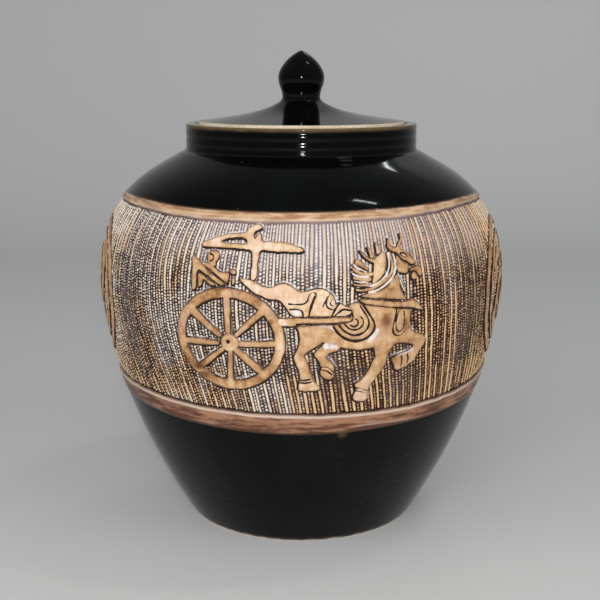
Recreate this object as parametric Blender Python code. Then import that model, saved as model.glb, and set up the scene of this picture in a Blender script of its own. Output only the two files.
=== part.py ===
# Stoneware wine jar with a domed lid, modelled in metres, +Z up, origin at the centre of its base.
# The jar, the lid, the lid's knob and the seal ring are turned shapes about the Z axis.
# Between the jar's two borders the ground is cut back, and the carved figures keep the wall's own surface.

import math

import bmesh
import bpy
import numpy

# Jar body
FOOT_RADIUS = 0.0824            # outer radius where the wall meets the ground
FOOT_ROUND = 0.0015             # rounded edge of the foot
FOOT_RING_WIDTH = 0.0200        # bare ring that the jar stands on
FOOT_RECESS = 0.0015            # hollow under the base, inside the foot ring
BELLY_RADIUS = 0.1450           # widest radius
BELLY_HEIGHT = 0.1720           # height of the widest ring
NECK_FOOT_HEIGHT = 0.2630       # where the shoulder runs into the neck
NECK_LENGTH = 0.0176            # from there up to the flat top of the rim
NECK_FILLET = 0.0022            # hollow curve at the foot of the neck
MOUTH_RADIUS = 0.0670           # bore of the neck
MOUTH_CHAMFER = 0.0012          # softened inner edge of the mouth
RIM_WALL = 0.0150               # thickness of the neck between bore and outside
RIM_ROUND = 0.0026              # rounded outer corner of the rim
RIM_FALL = 0.0018               # how far the rim slopes down outside the lid
WALL = 0.0082                   # thickness of the thrown wall
BASE_THICKNESS = 0.0115
FLOOR_ROUND = 0.0140            # inside curve between floor and wall
BORE_DEPTH = 0.0150             # straight length of the neck bore below the rim

# Plain borders above and below the carved band
LOWER_BORDER_HEIGHT = 0.0942    # lower edge
LOWER_BORDER_WIDTH = 0.0125
UPPER_BORDER_HEIGHT = 0.2296    # lower edge
UPPER_BORDER_WIDTH = 0.0045
BORDER_RELIEF = 0.0004          # how far a border stands out of the wall
BORDER_SLOPE = 0.0006           # height over which a border's edge rises

# Carved band
GROUND_DEPTH = 0.0013           # how far the ground between the figures is cut back
CUTTER_REACH = 0.0180           # how far the carving's cutters pass the wall's surface, in and out

# Lid
SEAT_WIDTH = 0.0064             # how far the lid's edge reaches over the rim
LID_EDGE_THICKNESS = 0.0026     # bare clay edge that shows between lid and rim
LID_EDGE_ROUND = 0.0009
LID_HEIGHT = 0.0171             # from the seat to the foot of the knob
LID_WALL = 0.0058               # thickness over the hollow
SPIGOT_CLEARANCE = 0.0035       # between the lid's collar and the neck bore
SPIGOT_DEPTH = 0.0140           # how far the collar reaches into the neck
SPIGOT_WALL = 0.0065
SPIGOT_CHAMFER = 0.0010
GROOVE_TOP = 0.0042             # from the seat down to the groove for the seal
GROOVE_HEIGHT = 0.0044
GROOVE_DEPTH = 0.0026

# Knob
KNOB_FOOT_RADIUS = 0.0134
KNOB_RADIUS = 0.01635           # widest radius
KNOB_BELLY_HEIGHT = 0.0152      # from the foot of the knob to its widest ring
KNOB_HEIGHT = 0.0340            # from the foot of the knob to its tip

# Seal ring
RIB_THICKNESS = 0.0013          # each of the two ribs that wipe the neck bore
RING_BODY_PROUD = 0.0006        # how far the ring's body stands out of its groove

# Fits
SEAT_GAP = 0.0003               # between pieces that touch
STEPS = 56                      # faces round a turned shape
KNOB_STEPS = 40
WALL_STEPS = (10, 7)            # faces up the jar's outside, below and above the belly
INNER_STEPS = (7, 4)            # the same for the inside
EXACT_STEPS = (100, 100)        # for reading a radius off the outside
DOME_STEPS = 8                  # faces down the lid's dome
CURVE_STEPS = 4
WELD = 0.00001                  # points closer than this are one point
SHARP_ANGLE = math.radians(35)

# Sizes that follow from the ones above
RIM_HEIGHT = NECK_FOOT_HEIGHT + NECK_LENGTH    # carries the lid
NECK_RADIUS = MOUTH_RADIUS + RIM_WALL
NECK_FOOT_RADIUS = NECK_RADIUS + NECK_FILLET
LID_EDGE_RADIUS = MOUTH_RADIUS + SEAT_WIDTH
SPIGOT_RADIUS = MOUTH_RADIUS - SPIGOT_CLEARANCE
SHOULDER_HEIGHT = NECK_FOOT_HEIGHT - BELLY_HEIGHT
SHOULDER_WIDTH = BELLY_RADIUS - NECK_FOOT_RADIUS
BELLY_SWELL = BELLY_RADIUS - FOOT_RADIUS
BAND_LOW = LOWER_BORDER_HEIGHT + LOWER_BORDER_WIDTH
BAND_HEIGHT = UPPER_BORDER_HEIGHT - BAND_LOW

# How far the curves' handles reach, as shares of the stretch that each one shapes
LOWER_HANDLE_SHARE = (0.98, 0.57)       # outwards and upwards, from the foot
BELLY_HANDLE_SHARE = 0.01               # downwards, from the widest ring
SHOULDER_HANDLE_SHARE = 0.71            # upwards, from the widest ring
NECK_HANDLE_SHARE = (0.38, 0.15)        # outwards and downwards, from the neck
DOME_EDGE_HANDLE_SHARE = (0.62, 0.33)   # inwards and upwards, from the lid's edge
DOME_TOP_HANDLE_SHARE = (0.20, 0.52)    # outwards and downwards, from the knob
KNOB_WAIST_HANDLE_SHARE = (0.02, 0.50)  # inwards and upwards, from the knob's foot
KNOB_BELLY_HANDLE_SHARE = 0.42          # up and down, from the knob's widest ring
KNOB_TIP_HANDLE_SHARE = (0.42, 0.12)    # outwards and downwards, from the tip

# Turns of the carved motifs about the Z axis, in degrees from the front
FRONT_TURN = 0
BACK_TURN = 180
ROUNDEL_TURNS = (78, -81)

# The horse and cart. Every place is across from the motif's middle line and up from the band's lower edge, both as
# shares of the band's height.
WHEEL_MIDDLE_SHARE = (-0.380, 0.402)
WHEEL_OUTER_SHARE = (0.297, 0.268)
WHEEL_INNER_SHARE = (0.248, 0.221)
HUB_SHARE = 0.046               # radius
SPOKE_ANGLES = (-138, -92, -43, -2, 41, 91, 144, 185)
SPOKE_HALF_ANGLES = (15, 3)     # half of a spoke, seen from the middle, at the hub and at the rim
CART_SHARES = {
    "canopy": (
        (-0.545, 0.865), (-0.490, 0.905), (-0.305, 0.940), (-0.250, 0.975), (-0.210, 0.900), (0.015, 0.860),
        (-0.225, 0.860), (-0.230, 0.715), (-0.255, 0.715), (-0.255, 0.865),
    ),
    "beast": (
        (-0.315, 0.720), (-0.145, 0.682), (-0.075, 0.700), (-0.005, 0.662), (0.090, 0.680), (0.175, 0.605),
        (0.245, 0.562), (-0.025, 0.540), (-0.115, 0.620),
    ),
    "horse": (
        (-0.025, 0.484), (0.270, 0.505), (0.240, 0.594), (0.285, 0.600), (0.570, 0.548), (0.565, 0.460),
        (0.685, 0.385), (0.595, 0.245), (0.508, 0.230), (0.480, 0.285), (0.605, 0.340), (0.500, 0.375),
        (0.435, 0.240), (0.368, 0.142), (0.368, 0.085), (0.295, 0.075), (0.290, 0.160), (0.390, 0.312),
        (0.380, 0.365), (0.197, 0.375), (0.125, 0.330), (0.170, 0.255), (0.130, 0.203), (0.062, 0.338),
        (0.011, 0.332), (0.054, 0.204), (0.099, 0.144), (-0.018, 0.141), (-0.044, 0.320),
    ),
    "neck": (
        (0.444, 0.840), (0.356, 0.875), (0.391, 0.813), (0.382, 0.796), (0.267, 0.808), (0.373, 0.771),
        (0.252, 0.772), (0.352, 0.700), (0.435, 0.760),
    ),
    "head": (
        (0.477, 0.845), (0.472, 0.910), (0.517, 0.862), (0.553, 0.928), (0.540, 0.868), (0.622, 0.776),
        (0.572, 0.777), (0.566, 0.741), (0.506, 0.742),
    ),
}
DRIVING_SHARES = {
    "driver": (
        (-0.500, 0.835), (-0.460, 0.845), (-0.435, 0.810), (-0.450, 0.785), (-0.375, 0.745), (-0.380, 0.692),
        (-0.515, 0.790),
    ),
    "seat": (
        (-0.595, 0.815), (-0.550, 0.795), (-0.385, 0.682), (-0.415, 0.677), (-0.548, 0.758), (-0.560, 0.650),
    ),
    "shaft": ((-0.085, 0.525), (0.250, 0.520), (0.165, 0.505), (-0.080, 0.492)),
    "yoke": ((0.290, 0.610), (0.545, 0.588), (0.600, 0.593), (0.653, 0.540), (0.407, 0.582)),
    "shoulder": ((0.295, 0.638), (0.444, 0.690), (0.491, 0.728), (0.547, 0.602), (0.374, 0.622)),
    "rein": (
        (0.259, 0.678), (0.405, 0.697), (0.460, 0.740), (0.462, 0.832), (0.487, 0.754), (0.428, 0.694),
        (0.334, 0.660),
    ),
    "muzzle": ((0.576, 0.740), (0.612, 0.762), (0.648, 0.745), (0.648, 0.714), (0.590, 0.700)),
}

# A roundel, in the same shares: a ring with arms that turn about a boss
ROUNDEL_MIDDLE_SHARE = (0, 0.527)
ROUNDEL_RING_SHARES = ((0.407, 0.395), (0.350, 0.340))
ROUNDEL_BOSS_SHARE = 0.060
ROUNDEL_ARMS = 4
ROUNDEL_ARM_TURN = 75
ROUNDEL_ARM_SHARES = (0.090, 0.290)     # from the middle, at an arm's two ends
ROUNDEL_ARM_WIDTH_SHARES = (0.010, 0.026)
OVAL_STEPS = 16                         # corners of a carved ring
RIM_STEPS = 2                           # stretches of the wheel's rim between two spokes
HUB_STEPS = 1                           # stretches of its hub between two spokes
ARM_STEPS = 1                           # stretches of a roundel's arm


def curve(start, start_handle, end_handle, end, steps):
    """Points of a cubic curve in (radius, height), both ends included."""
    points = []
    for step in range(steps + 1):
        t = step / steps
        weights = ((1 - t) ** 3, 3 * t * (1 - t) ** 2, 3 * t * t * (1 - t), t ** 3)
        corners = (start, start_handle, end_handle, end)
        radius = sum(w * corner[0] for w, corner in zip(weights, corners))
        height = sum(w * corner[1] for w, corner in zip(weights, corners))
        points.append((radius, height))
    return points


def offset(points, distance):
    """The same curve, moved square to itself towards the axis side."""
    moved = []
    for index, (radius, height) in enumerate(points):
        before = points[max(index - 1, 0)]
        after = points[min(index + 1, len(points) - 1)]
        along = (after[0] - before[0], after[1] - before[1])
        length = math.hypot(*along)
        moved.append((radius - distance * along[1] / length, height + distance * along[0] / length))
    return moved


def wall_curves(lower_steps, upper_steps):
    """The outside of the jar from foot to belly and from belly to neck, without its borders."""
    foot = (FOOT_RADIUS, 0)
    foot_handle = (
        FOOT_RADIUS + LOWER_HANDLE_SHARE[0] * BELLY_SWELL,
        LOWER_HANDLE_SHARE[1] * BELLY_HEIGHT,
    )
    belly = (BELLY_RADIUS, BELLY_HEIGHT)
    belly_low = (BELLY_RADIUS, BELLY_HEIGHT * (1 - BELLY_HANDLE_SHARE))
    belly_high = (BELLY_RADIUS, BELLY_HEIGHT + SHOULDER_HANDLE_SHARE * SHOULDER_HEIGHT)
    neck = (NECK_FOOT_RADIUS, NECK_FOOT_HEIGHT)
    neck_handle = (
        NECK_FOOT_RADIUS + NECK_HANDLE_SHARE[0] * SHOULDER_WIDTH,
        NECK_FOOT_HEIGHT - NECK_HANDLE_SHARE[1] * SHOULDER_HEIGHT,
    )
    lower = curve(foot, foot_handle, belly_low, belly, lower_steps)
    upper = curve(belly, belly_high, neck_handle, neck, upper_steps)
    return lower, upper


def wall_radius(height):
    """Radius of the plain outside at a height."""
    lower, upper = wall_curves(*EXACT_STEPS)
    radii, heights = zip(*(lower + upper[1:]))
    return float(numpy.interp(height, heights, radii))


def border(low, width):
    """Outline of one raised border, from its lower to its upper edge."""
    high = low + width
    return [
        (wall_radius(low), low),
        (wall_radius(low) + BORDER_RELIEF, low + BORDER_SLOPE),
        (wall_radius(high) + BORDER_RELIEF, high - BORDER_SLOPE),
        (wall_radius(high), high),
    ]


def outside_of_jar():
    """Outline of the outside from the foot's rounded edge up to the neck, with both borders."""
    lower, upper = wall_curves(*WALL_STEPS)
    borders = [
        border(LOWER_BORDER_HEIGHT, LOWER_BORDER_WIDTH),
        border(UPPER_BORDER_HEIGHT, UPPER_BORDER_WIDTH),
    ]
    clear_of = [(edge[0][1] - BORDER_SLOPE, edge[-1][1] + BORDER_SLOPE) for edge in borders]
    plain = [
        (radius, height)
        for radius, height in lower + upper[1:]
        if height > FOOT_ROUND and not any(low < height < high for low, high in clear_of)
    ]
    points = plain + borders[0] + borders[1]
    return sorted(points, key=lambda point: point[1])


def inside_of_jar():
    """Outline of the inside from the neck bore down to the middle of the floor."""
    lower, upper = wall_curves(*INNER_STEPS)
    inner = offset(lower, WALL)[:-1] + offset(upper, WALL)
    wall = [point for point in inner if point[1] > BASE_THICKNESS + FLOOR_ROUND]
    shoulder = wall[-1]
    bore_foot = (MOUTH_RADIUS, RIM_HEIGHT - BORE_DEPTH)
    throat = curve(
        bore_foot,
        (MOUTH_RADIUS, (bore_foot[1] + shoulder[1]) / 2),
        ((MOUTH_RADIUS + shoulder[0]) / 2, (bore_foot[1] + shoulder[1]) / 2),
        shoulder,
        CURVE_STEPS,
    )
    floor_edge = wall[0]
    floor_corner = (wall_radius(BASE_THICKNESS) - WALL, BASE_THICKNESS)
    floor_start = (floor_corner[0] - FLOOR_ROUND, BASE_THICKNESS)
    bend = curve(floor_edge, floor_corner, floor_corner, floor_start, CURVE_STEPS)
    return throat + wall[-2:0:-1] + bend + [(0, BASE_THICKNESS)]


def quarter(centre, radius, from_angle, to_angle, steps):
    """Points of an arc in (radius, height), both ends included."""
    points = []
    for step in range(steps + 1):
        angle = math.radians(from_angle + (to_angle - from_angle) * step / steps)
        points.append((centre[0] + radius * math.cos(angle), centre[1] + radius * math.sin(angle)))
    return points


def jar_outline():
    """The whole section of the jar, from the middle of its underside to the middle of its floor."""
    recess_edge = FOOT_RADIUS - FOOT_RING_WIDTH
    underside = [
        (0, FOOT_RECESS),
        (recess_edge - FOOT_RECESS, FOOT_RECESS),
        (recess_edge, 0),
    ]
    foot = quarter((FOOT_RADIUS - FOOT_ROUND, FOOT_ROUND), FOOT_ROUND, -90, -15, CURVE_STEPS // 2)
    neck_fillet = quarter(
        (NECK_RADIUS + NECK_FILLET, NECK_FOOT_HEIGHT + NECK_FILLET), NECK_FILLET, 240, 180, CURVE_STEPS // 2
    )
    rim_edge_height = RIM_HEIGHT - RIM_FALL
    rim_corner = quarter(
        (NECK_RADIUS - RIM_ROUND, rim_edge_height - RIM_ROUND), RIM_ROUND, 0, 80, CURVE_STEPS
    )
    seat = [
        (LID_EDGE_RADIUS + RIM_FALL, RIM_HEIGHT - RIM_FALL / 4),
        (LID_EDGE_RADIUS + RIM_FALL / 2, RIM_HEIGHT),
        (MOUTH_RADIUS + MOUTH_CHAMFER, RIM_HEIGHT),
        (MOUTH_RADIUS, RIM_HEIGHT - MOUTH_CHAMFER),
    ]
    outside = outside_of_jar()[:-1]
    return underside + foot + outside + neck_fillet + rim_corner + seat + inside_of_jar()


def lid_outline():
    """Section of the lid, heights measured from its seat."""
    reach = LID_EDGE_RADIUS - LID_EDGE_ROUND - KNOB_FOOT_RADIUS
    rise = LID_HEIGHT - LID_EDGE_THICKNESS
    edge_top = (LID_EDGE_RADIUS - LID_EDGE_ROUND, LID_EDGE_THICKNESS)
    crown = (KNOB_FOOT_RADIUS, LID_HEIGHT)
    dome = curve(
        crown,
        (crown[0] + DOME_TOP_HANDLE_SHARE[0] * reach, crown[1] - DOME_TOP_HANDLE_SHARE[1] * rise),
        (edge_top[0] - DOME_EDGE_HANDLE_SHARE[0] * reach, edge_top[1] + DOME_EDGE_HANDLE_SHARE[1] * rise),
        edge_top,
        DOME_STEPS,
    )
    edge = quarter(
        (LID_EDGE_RADIUS - LID_EDGE_ROUND, LID_EDGE_THICKNESS - LID_EDGE_ROUND), LID_EDGE_ROUND, 60, 0, 2
    )
    groove_floor = SPIGOT_RADIUS - GROOVE_DEPTH
    groove_low = -GROOVE_TOP - GROOVE_HEIGHT
    spigot_inside = SPIGOT_RADIUS - SPIGOT_WALL
    collar = [
        (LID_EDGE_RADIUS, 0),
        (SPIGOT_RADIUS, 0),
        (SPIGOT_RADIUS, -GROOVE_TOP),
        (groove_floor, -GROOVE_TOP),
        (groove_floor, groove_low),
        (SPIGOT_RADIUS, groove_low),
        (SPIGOT_RADIUS, -SPIGOT_DEPTH + SPIGOT_CHAMFER),
        (SPIGOT_RADIUS - SPIGOT_CHAMFER, -SPIGOT_DEPTH),
        (spigot_inside + SPIGOT_CHAMFER, -SPIGOT_DEPTH),
        (spigot_inside, -SPIGOT_DEPTH + SPIGOT_CHAMFER),
    ]
    ceiling_edge = (spigot_inside, LID_EDGE_THICKNESS - LID_WALL / 2)
    ceiling_top = (0, LID_HEIGHT - LID_WALL * 2)
    ceiling = curve(
        ceiling_edge,
        (spigot_inside * (1 - DOME_EDGE_HANDLE_SHARE[1]), ceiling_edge[1] + LID_WALL / 4),
        (spigot_inside * DOME_TOP_HANDLE_SHARE[1], ceiling_top[1]),
        ceiling_top,
        CURVE_STEPS,
    )
    return [(0, LID_HEIGHT)] + dome + edge + collar + ceiling


def knob_outline():
    """Section of the knob, heights measured from its foot."""
    waist_handle = (
        KNOB_FOOT_RADIUS * (1 - KNOB_WAIST_HANDLE_SHARE[0]),
        KNOB_BELLY_HEIGHT * KNOB_WAIST_HANDLE_SHARE[1],
    )
    cap = KNOB_HEIGHT - KNOB_BELLY_HEIGHT
    belly = (KNOB_RADIUS, KNOB_BELLY_HEIGHT)
    belly_low = (KNOB_RADIUS, KNOB_BELLY_HEIGHT * (1 - KNOB_BELLY_HANDLE_SHARE))
    belly_high = (KNOB_RADIUS, KNOB_BELLY_HEIGHT + KNOB_BELLY_HANDLE_SHARE * cap)
    tip_handle = (KNOB_TIP_HANDLE_SHARE[0] * KNOB_RADIUS, KNOB_HEIGHT - KNOB_TIP_HANDLE_SHARE[1] * cap)
    stem = curve((KNOB_FOOT_RADIUS, 0), waist_handle, belly_low, belly, CURVE_STEPS)
    bud = curve(belly, belly_high, tip_handle, (0, KNOB_HEIGHT), CURVE_STEPS + 2)
    return [(0, 0)] + stem + bud[1:]


def ring_outline():
    """Section of the seal ring, heights measured from the lid's seat."""
    inner = SPIGOT_RADIUS - GROOVE_DEPTH + SEAT_GAP
    body = SPIGOT_RADIUS + RING_BODY_PROUD
    wiping = MOUTH_RADIUS - SEAT_GAP
    top = -GROOVE_TOP - SEAT_GAP
    low = -GROOVE_TOP - GROOVE_HEIGHT + SEAT_GAP
    return [
        (inner, low),
        (wiping, low),
        (wiping, low + RIB_THICKNESS),
        (body, low + RIB_THICKNESS),
        (body, top - RIB_THICKNESS),
        (wiping, top - RIB_THICKNESS),
        (wiping, top),
        (inner, top),
    ]


def ribbon(points, start_width, end_width):
    """Outline of a stroke along points, whose half width runs from one value to the other."""
    left, right = [], []
    for index, (across, up) in enumerate(points):
        before = points[max(index - 1, 0)]
        after = points[min(index + 1, len(points) - 1)]
        along = (after[0] - before[0], after[1] - before[1])
        length = math.hypot(*along)
        half = start_width + (end_width - start_width) * index / (len(points) - 1)
        left.append((across - along[1] / length * half, up + along[0] / length * half))
        right.append((across + along[1] / length * half, up - along[0] / length * half))
    return left + right[::-1]


def arc(middle, size, start, end, steps):
    """Points of an oval between two angles in degrees."""
    points = []
    for step in range(steps + 1):
        angle = math.radians(start + (end - start) * step / steps)
        points.append((middle[0] + size[0] * math.cos(angle), middle[1] + size[1] * math.sin(angle)))
    return points


def oval(middle, size, steps):
    """Corners of a whole oval."""
    return arc(middle, size, 0, 360, steps)[:-1]


def spiral(middle, start, turn, reach, steps):
    """Points that turn about a middle from an angle in degrees, while their reach runs between two shares."""
    points = []
    for step in range(steps + 1):
        angle = math.radians(start + turn * step / steps)
        radius = reach[0] + (reach[1] - reach[0]) * step / steps
        points.append((middle[0] + radius * math.cos(angle), middle[1] + radius * math.sin(angle)))
    return points


def wheel_loops():
    """Outline of the cart's wheel, and of the openings between its spokes."""
    wheel = [oval(WHEEL_MIDDLE_SHARE, WHEEL_OUTER_SHARE, OVAL_STEPS)]
    for first, second in zip(SPOKE_ANGLES, SPOKE_ANGLES[1:] + (SPOKE_ANGLES[0] + 360,)):
        at_hub, at_rim = SPOKE_HALF_ANGLES
        along_hub = arc(WHEEL_MIDDLE_SHARE, (HUB_SHARE, HUB_SHARE), first + at_hub, second - at_hub, HUB_STEPS)
        along_rim = arc(WHEEL_MIDDLE_SHARE, WHEEL_INNER_SHARE, first + at_rim, second - at_rim, RIM_STEPS)
        wheel.append(along_rim + along_hub[::-1])
    return wheel


def roundel_figures():
    """A ring, a boss in its middle and the arms between them."""
    figures = [[oval(ROUNDEL_MIDDLE_SHARE, size, OVAL_STEPS) for size in ROUNDEL_RING_SHARES]]
    figures.append([oval(ROUNDEL_MIDDLE_SHARE, (ROUNDEL_BOSS_SHARE, ROUNDEL_BOSS_SHARE), OVAL_STEPS // 2)])
    for arm in range(ROUNDEL_ARMS):
        start = 360 / ROUNDEL_ARMS * arm
        line = spiral(ROUNDEL_MIDDLE_SHARE, start, ROUNDEL_ARM_TURN, ROUNDEL_ARM_SHARES, ARM_STEPS)
        figures.append([ribbon(line, *ROUNDEL_ARM_WIDTH_SHARES)])
    return figures


def ground_outline():
    """Section of the ring that is cut out of the wall between the borders."""
    low, high = BAND_LOW + BORDER_SLOPE, BAND_LOW + BAND_HEIGHT - BORDER_SLOPE
    between = [height for _, height in outside_of_jar() if low + BORDER_SLOPE < height < high - BORDER_SLOPE]
    heights = [low] + between + [high]
    deep = [(wall_radius(height) - GROUND_DEPTH, height) for height in heights]
    clear = [(wall_radius(height) + CUTTER_REACH / 2, height) for height in heights]
    return deep + clear[::-1]


def on_band(across, up, turn, proud):
    """A place given in shares of the band's height, on a motif turned about Z, at a distance off the wall."""
    height = BAND_LOW + up * BAND_HEIGHT
    angle = math.radians(turn) + across * BAND_HEIGHT / BELLY_RADIUS
    radius = wall_radius(height) + proud
    return (radius * math.sin(angle), -radius * math.cos(angle), height)


def finish(name, colour, roughness):
    """A plain material for one piece."""
    material = bpy.data.materials.new(name)
    material.use_nodes = True
    shader = material.node_tree.nodes["Principled BSDF"]
    shader.inputs["Base Color"].default_value = (*colour, 1)
    shader.inputs["Roughness"].default_value = roughness
    shader.inputs["Metallic"].default_value = 0
    material.diffuse_color = (*colour, 1)
    return material


def turned(name, outline, steps, closed, material, parent, height):
    """Spins an outline once about the Z axis, into an object at a height on that axis."""
    shape = bmesh.new()
    corners = [shape.verts.new((radius, 0, z)) for radius, z in outline]
    for first, second in zip(corners, corners[1:]):
        shape.edges.new((first, second))
    if closed:
        shape.edges.new((corners[-1], corners[0]))
    bmesh.ops.spin(
        shape,
        geom=shape.verts[:] + shape.edges[:],
        axis=(0, 0, 1),
        cent=(0, 0, 0),
        angle=math.tau,
        steps=steps,
        use_merge=True,
    )
    bmesh.ops.remove_doubles(shape, verts=shape.verts[:], dist=WELD)
    bmesh.ops.recalc_face_normals(shape, faces=shape.faces[:])
    mesh = bpy.data.meshes.new(name)
    shape.to_mesh(mesh)
    shape.free()
    mesh.shade_smooth()
    mesh.set_sharp_from_angle(angle=SHARP_ANGLE)
    mesh.materials.append(material)
    piece = bpy.data.objects.new(name, mesh)
    bpy.context.scene.collection.objects.link(piece)
    piece.parent = parent
    piece.location = (0, 0, height)
    return piece


def as_cutter(piece):
    """Keeps a cutter out of the finished model."""
    piece.hide_render = True
    piece.display_type = "WIRE"


def figure_cutter(name, loops, turn, collection):
    """A closed plug with the outline of one figure, which runs through the wall's surface."""
    shape = bmesh.new()
    for loop in loops:
        corners = [shape.verts.new((across, up, 0)) for across, up in loop]
        for first, second in zip(corners, corners[1:] + corners[:1]):
            shape.edges.new((first, second))
    bmesh.ops.triangle_fill(shape, edges=shape.edges[:], use_beauty=True)
    swept = bmesh.ops.extrude_face_region(shape, geom=shape.faces[:])["geom"]
    outer = {item for item in swept if isinstance(item, bmesh.types.BMVert)}
    for corner in shape.verts:
        proud = CUTTER_REACH if corner in outer else -CUTTER_REACH
        corner.co = on_band(corner.co.x, corner.co.y, turn, proud)
    bmesh.ops.recalc_face_normals(shape, faces=shape.faces[:])
    if shape.calc_volume(signed=True) < 0:
        bmesh.ops.reverse_faces(shape, faces=shape.faces[:])
    mesh = bpy.data.meshes.new(name)
    shape.to_mesh(mesh)
    shape.free()
    cutter = bpy.data.objects.new(name, mesh)
    collection.objects.link(cutter)
    as_cutter(cutter)


def cut(piece, cutter=None, collection=None):
    """Takes a cutter, or all the cutters of a collection, out of a piece."""
    modifier = piece.modifiers.new("cut", "BOOLEAN")
    modifier.operation = "DIFFERENCE"
    modifier.solver = "EXACT"
    if collection:
        modifier.operand_type = "COLLECTION"
        modifier.collection = collection
    else:
        modifier.object = cutter


def carve(jar, material):
    """Cuts the ground back between the borders, round every figure."""
    figures = bpy.data.collections.new("figures")
    bpy.context.scene.collection.children.link(figures)
    cart = [[outline] for outline in CART_SHARES.values()] + [wheel_loops()]
    driving = [[outline] for outline in DRIVING_SHARES.values()]
    motifs = [(cart + driving, FRONT_TURN), (cart, BACK_TURN)]
    motifs += [(roundel_figures(), turn) for turn in ROUNDEL_TURNS]
    for shapes, turn in motifs:
        for loops in shapes:
            figure_cutter("figure", loops, turn, figures)
    ground = turned("ground", ground_outline(), STEPS, True, material, None, 0)
    as_cutter(ground)
    cut(ground, collection=figures)
    cut(jar, cutter=ground)


def axis_marker(name, height):
    """An empty on the Z axis that carries the pieces which move together."""
    marker = bpy.data.objects.new(name, None)
    bpy.context.scene.collection.objects.link(marker)
    marker.location = (0, 0, height)
    return marker


def build():
    """The whole jar, with its lid on."""
    black_glaze = finish("black_glaze", (0.012, 0.014, 0.012), 0.12)
    lid_glaze = finish("lid_glaze", (0.014, 0.016, 0.014), 0.10)
    knob_glaze = finish("knob_glaze", (0.013, 0.014, 0.013), 0.10)
    silicone = finish("silicone", (0.78, 0.77, 0.74), 0.55)
    jar = turned("jar_body", jar_outline(), STEPS, False, black_glaze, None, 0)
    carve(jar, black_glaze)
    lid_carrier = axis_marker("lid_carrier", RIM_HEIGHT + SEAT_GAP)
    turned("lid", lid_outline(), STEPS, False, lid_glaze, lid_carrier, 0)
    turned("seal_ring", ring_outline(), STEPS, True, silicone, lid_carrier, 0)
    turned("lid_knob", knob_outline(), KNOB_STEPS, False, knob_glaze, lid_carrier, LID_HEIGHT + SEAT_GAP)


for leftover in list(bpy.data.objects):
    bpy.data.objects.remove(leftover)
build()
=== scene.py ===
# A lidded stoneware wine jar: black glaze, two plain borders and a hand-carved band of figures between them
import math

import bmesh
import bpy
import numpy as np
from mathutils import Matrix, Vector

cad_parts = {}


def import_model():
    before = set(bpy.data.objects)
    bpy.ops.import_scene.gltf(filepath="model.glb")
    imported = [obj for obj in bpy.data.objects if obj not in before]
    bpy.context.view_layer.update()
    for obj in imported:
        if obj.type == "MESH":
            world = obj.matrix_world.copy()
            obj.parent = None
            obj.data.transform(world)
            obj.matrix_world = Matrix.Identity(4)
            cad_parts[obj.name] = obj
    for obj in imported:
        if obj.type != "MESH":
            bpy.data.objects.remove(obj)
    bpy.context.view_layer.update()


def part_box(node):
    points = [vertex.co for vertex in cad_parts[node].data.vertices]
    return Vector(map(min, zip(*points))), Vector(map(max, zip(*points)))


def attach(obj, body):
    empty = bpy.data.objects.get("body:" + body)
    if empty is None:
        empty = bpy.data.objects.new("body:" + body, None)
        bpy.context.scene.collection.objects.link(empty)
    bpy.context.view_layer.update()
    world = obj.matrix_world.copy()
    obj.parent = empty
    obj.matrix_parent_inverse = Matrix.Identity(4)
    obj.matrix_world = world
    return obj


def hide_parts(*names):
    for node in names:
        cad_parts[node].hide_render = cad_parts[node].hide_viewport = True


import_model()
jarLow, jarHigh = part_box("jar_body")
lidLow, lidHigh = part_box("lid")
knobLow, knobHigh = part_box("lid_knob")
ringLow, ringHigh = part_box("seal_ring")
print("frame loaded")

mm = 0.001
wall = {
    "footRadius": 0.0824,
    "bellyRadius": 0.1450,
    "bellyHeight": 0.1720,
    "neckFootHeight": 0.2630,
    "neckRadius": 0.0820,
    "neckFillet": 0.0022,
    "seatHeight": jarHigh.z,
    "rimTop": jarHigh.z + 0.0014,
    "rimRound": 0.0009,
    "mouthRadius": 0.0670,
    "mouthRound": 0.0012,
    "boreDepth": 0.0150,
    "thickness": 0.0082,
    "baseThickness": 0.0115,
    "floorRound": 0.0140,
    "footRound": 0.0015,
    "footRingWidth": 0.0200,
    "footRecess": 0.0015,
    "lowerHandleShare": (0.98, 0.57),
    "bellyHandleShare": 0.01,
    "shoulderHandleShare": 0.71,
    "neckHandleShare": (0.38, 0.15),
    "curveSteps": 300,
}


def bend(start, startHandle, endHandle, end, steps):  # a cubic curve in (radius, height)
    t = np.linspace(0, 1, steps + 1)[:, None]
    corners = [np.array(corner) for corner in (start, startHandle, endHandle, end)]
    return (
        (1 - t) ** 3 * corners[0]
        + 3 * t * (1 - t) ** 2 * corners[1]
        + 3 * t * t * (1 - t) * corners[2]
        + t ** 3 * corners[3]
    )


def arc(centre, radius, fromAngle, toAngle, steps):  # part of a circle in (radius, height)
    angles = np.radians(np.linspace(fromAngle, toAngle, steps + 1))
    return np.stack([centre[0] + radius * np.cos(angles), centre[1] + radius * np.sin(angles)], 1)


def wallCurve(w):  # the outside from foot to neck, without borders or carving
    neckFoot = (w["neckRadius"] + w["neckFillet"], w["neckFootHeight"])
    belly = (w["bellyRadius"], w["bellyHeight"])
    swell = belly[0] - w["footRadius"]
    rise = neckFoot[1] - belly[1]
    lower = bend(
        (w["footRadius"], 0),
        (w["footRadius"] + w["lowerHandleShare"][0] * swell, w["lowerHandleShare"][1] * belly[1]),
        (belly[0], belly[1] * (1 - w["bellyHandleShare"])),
        belly,
        w["curveSteps"],
    )
    upper = bend(
        belly,
        (belly[0], belly[1] + w["shoulderHandleShare"] * rise),
        (
            neckFoot[0] + w["neckHandleShare"][0] * (belly[0] - neckFoot[0]),
            neckFoot[1] - w["neckHandleShare"][1] * rise,
        ),
        neckFoot,
        w["curveSteps"],
    )
    return np.concatenate([lower, upper[1:]])


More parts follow.
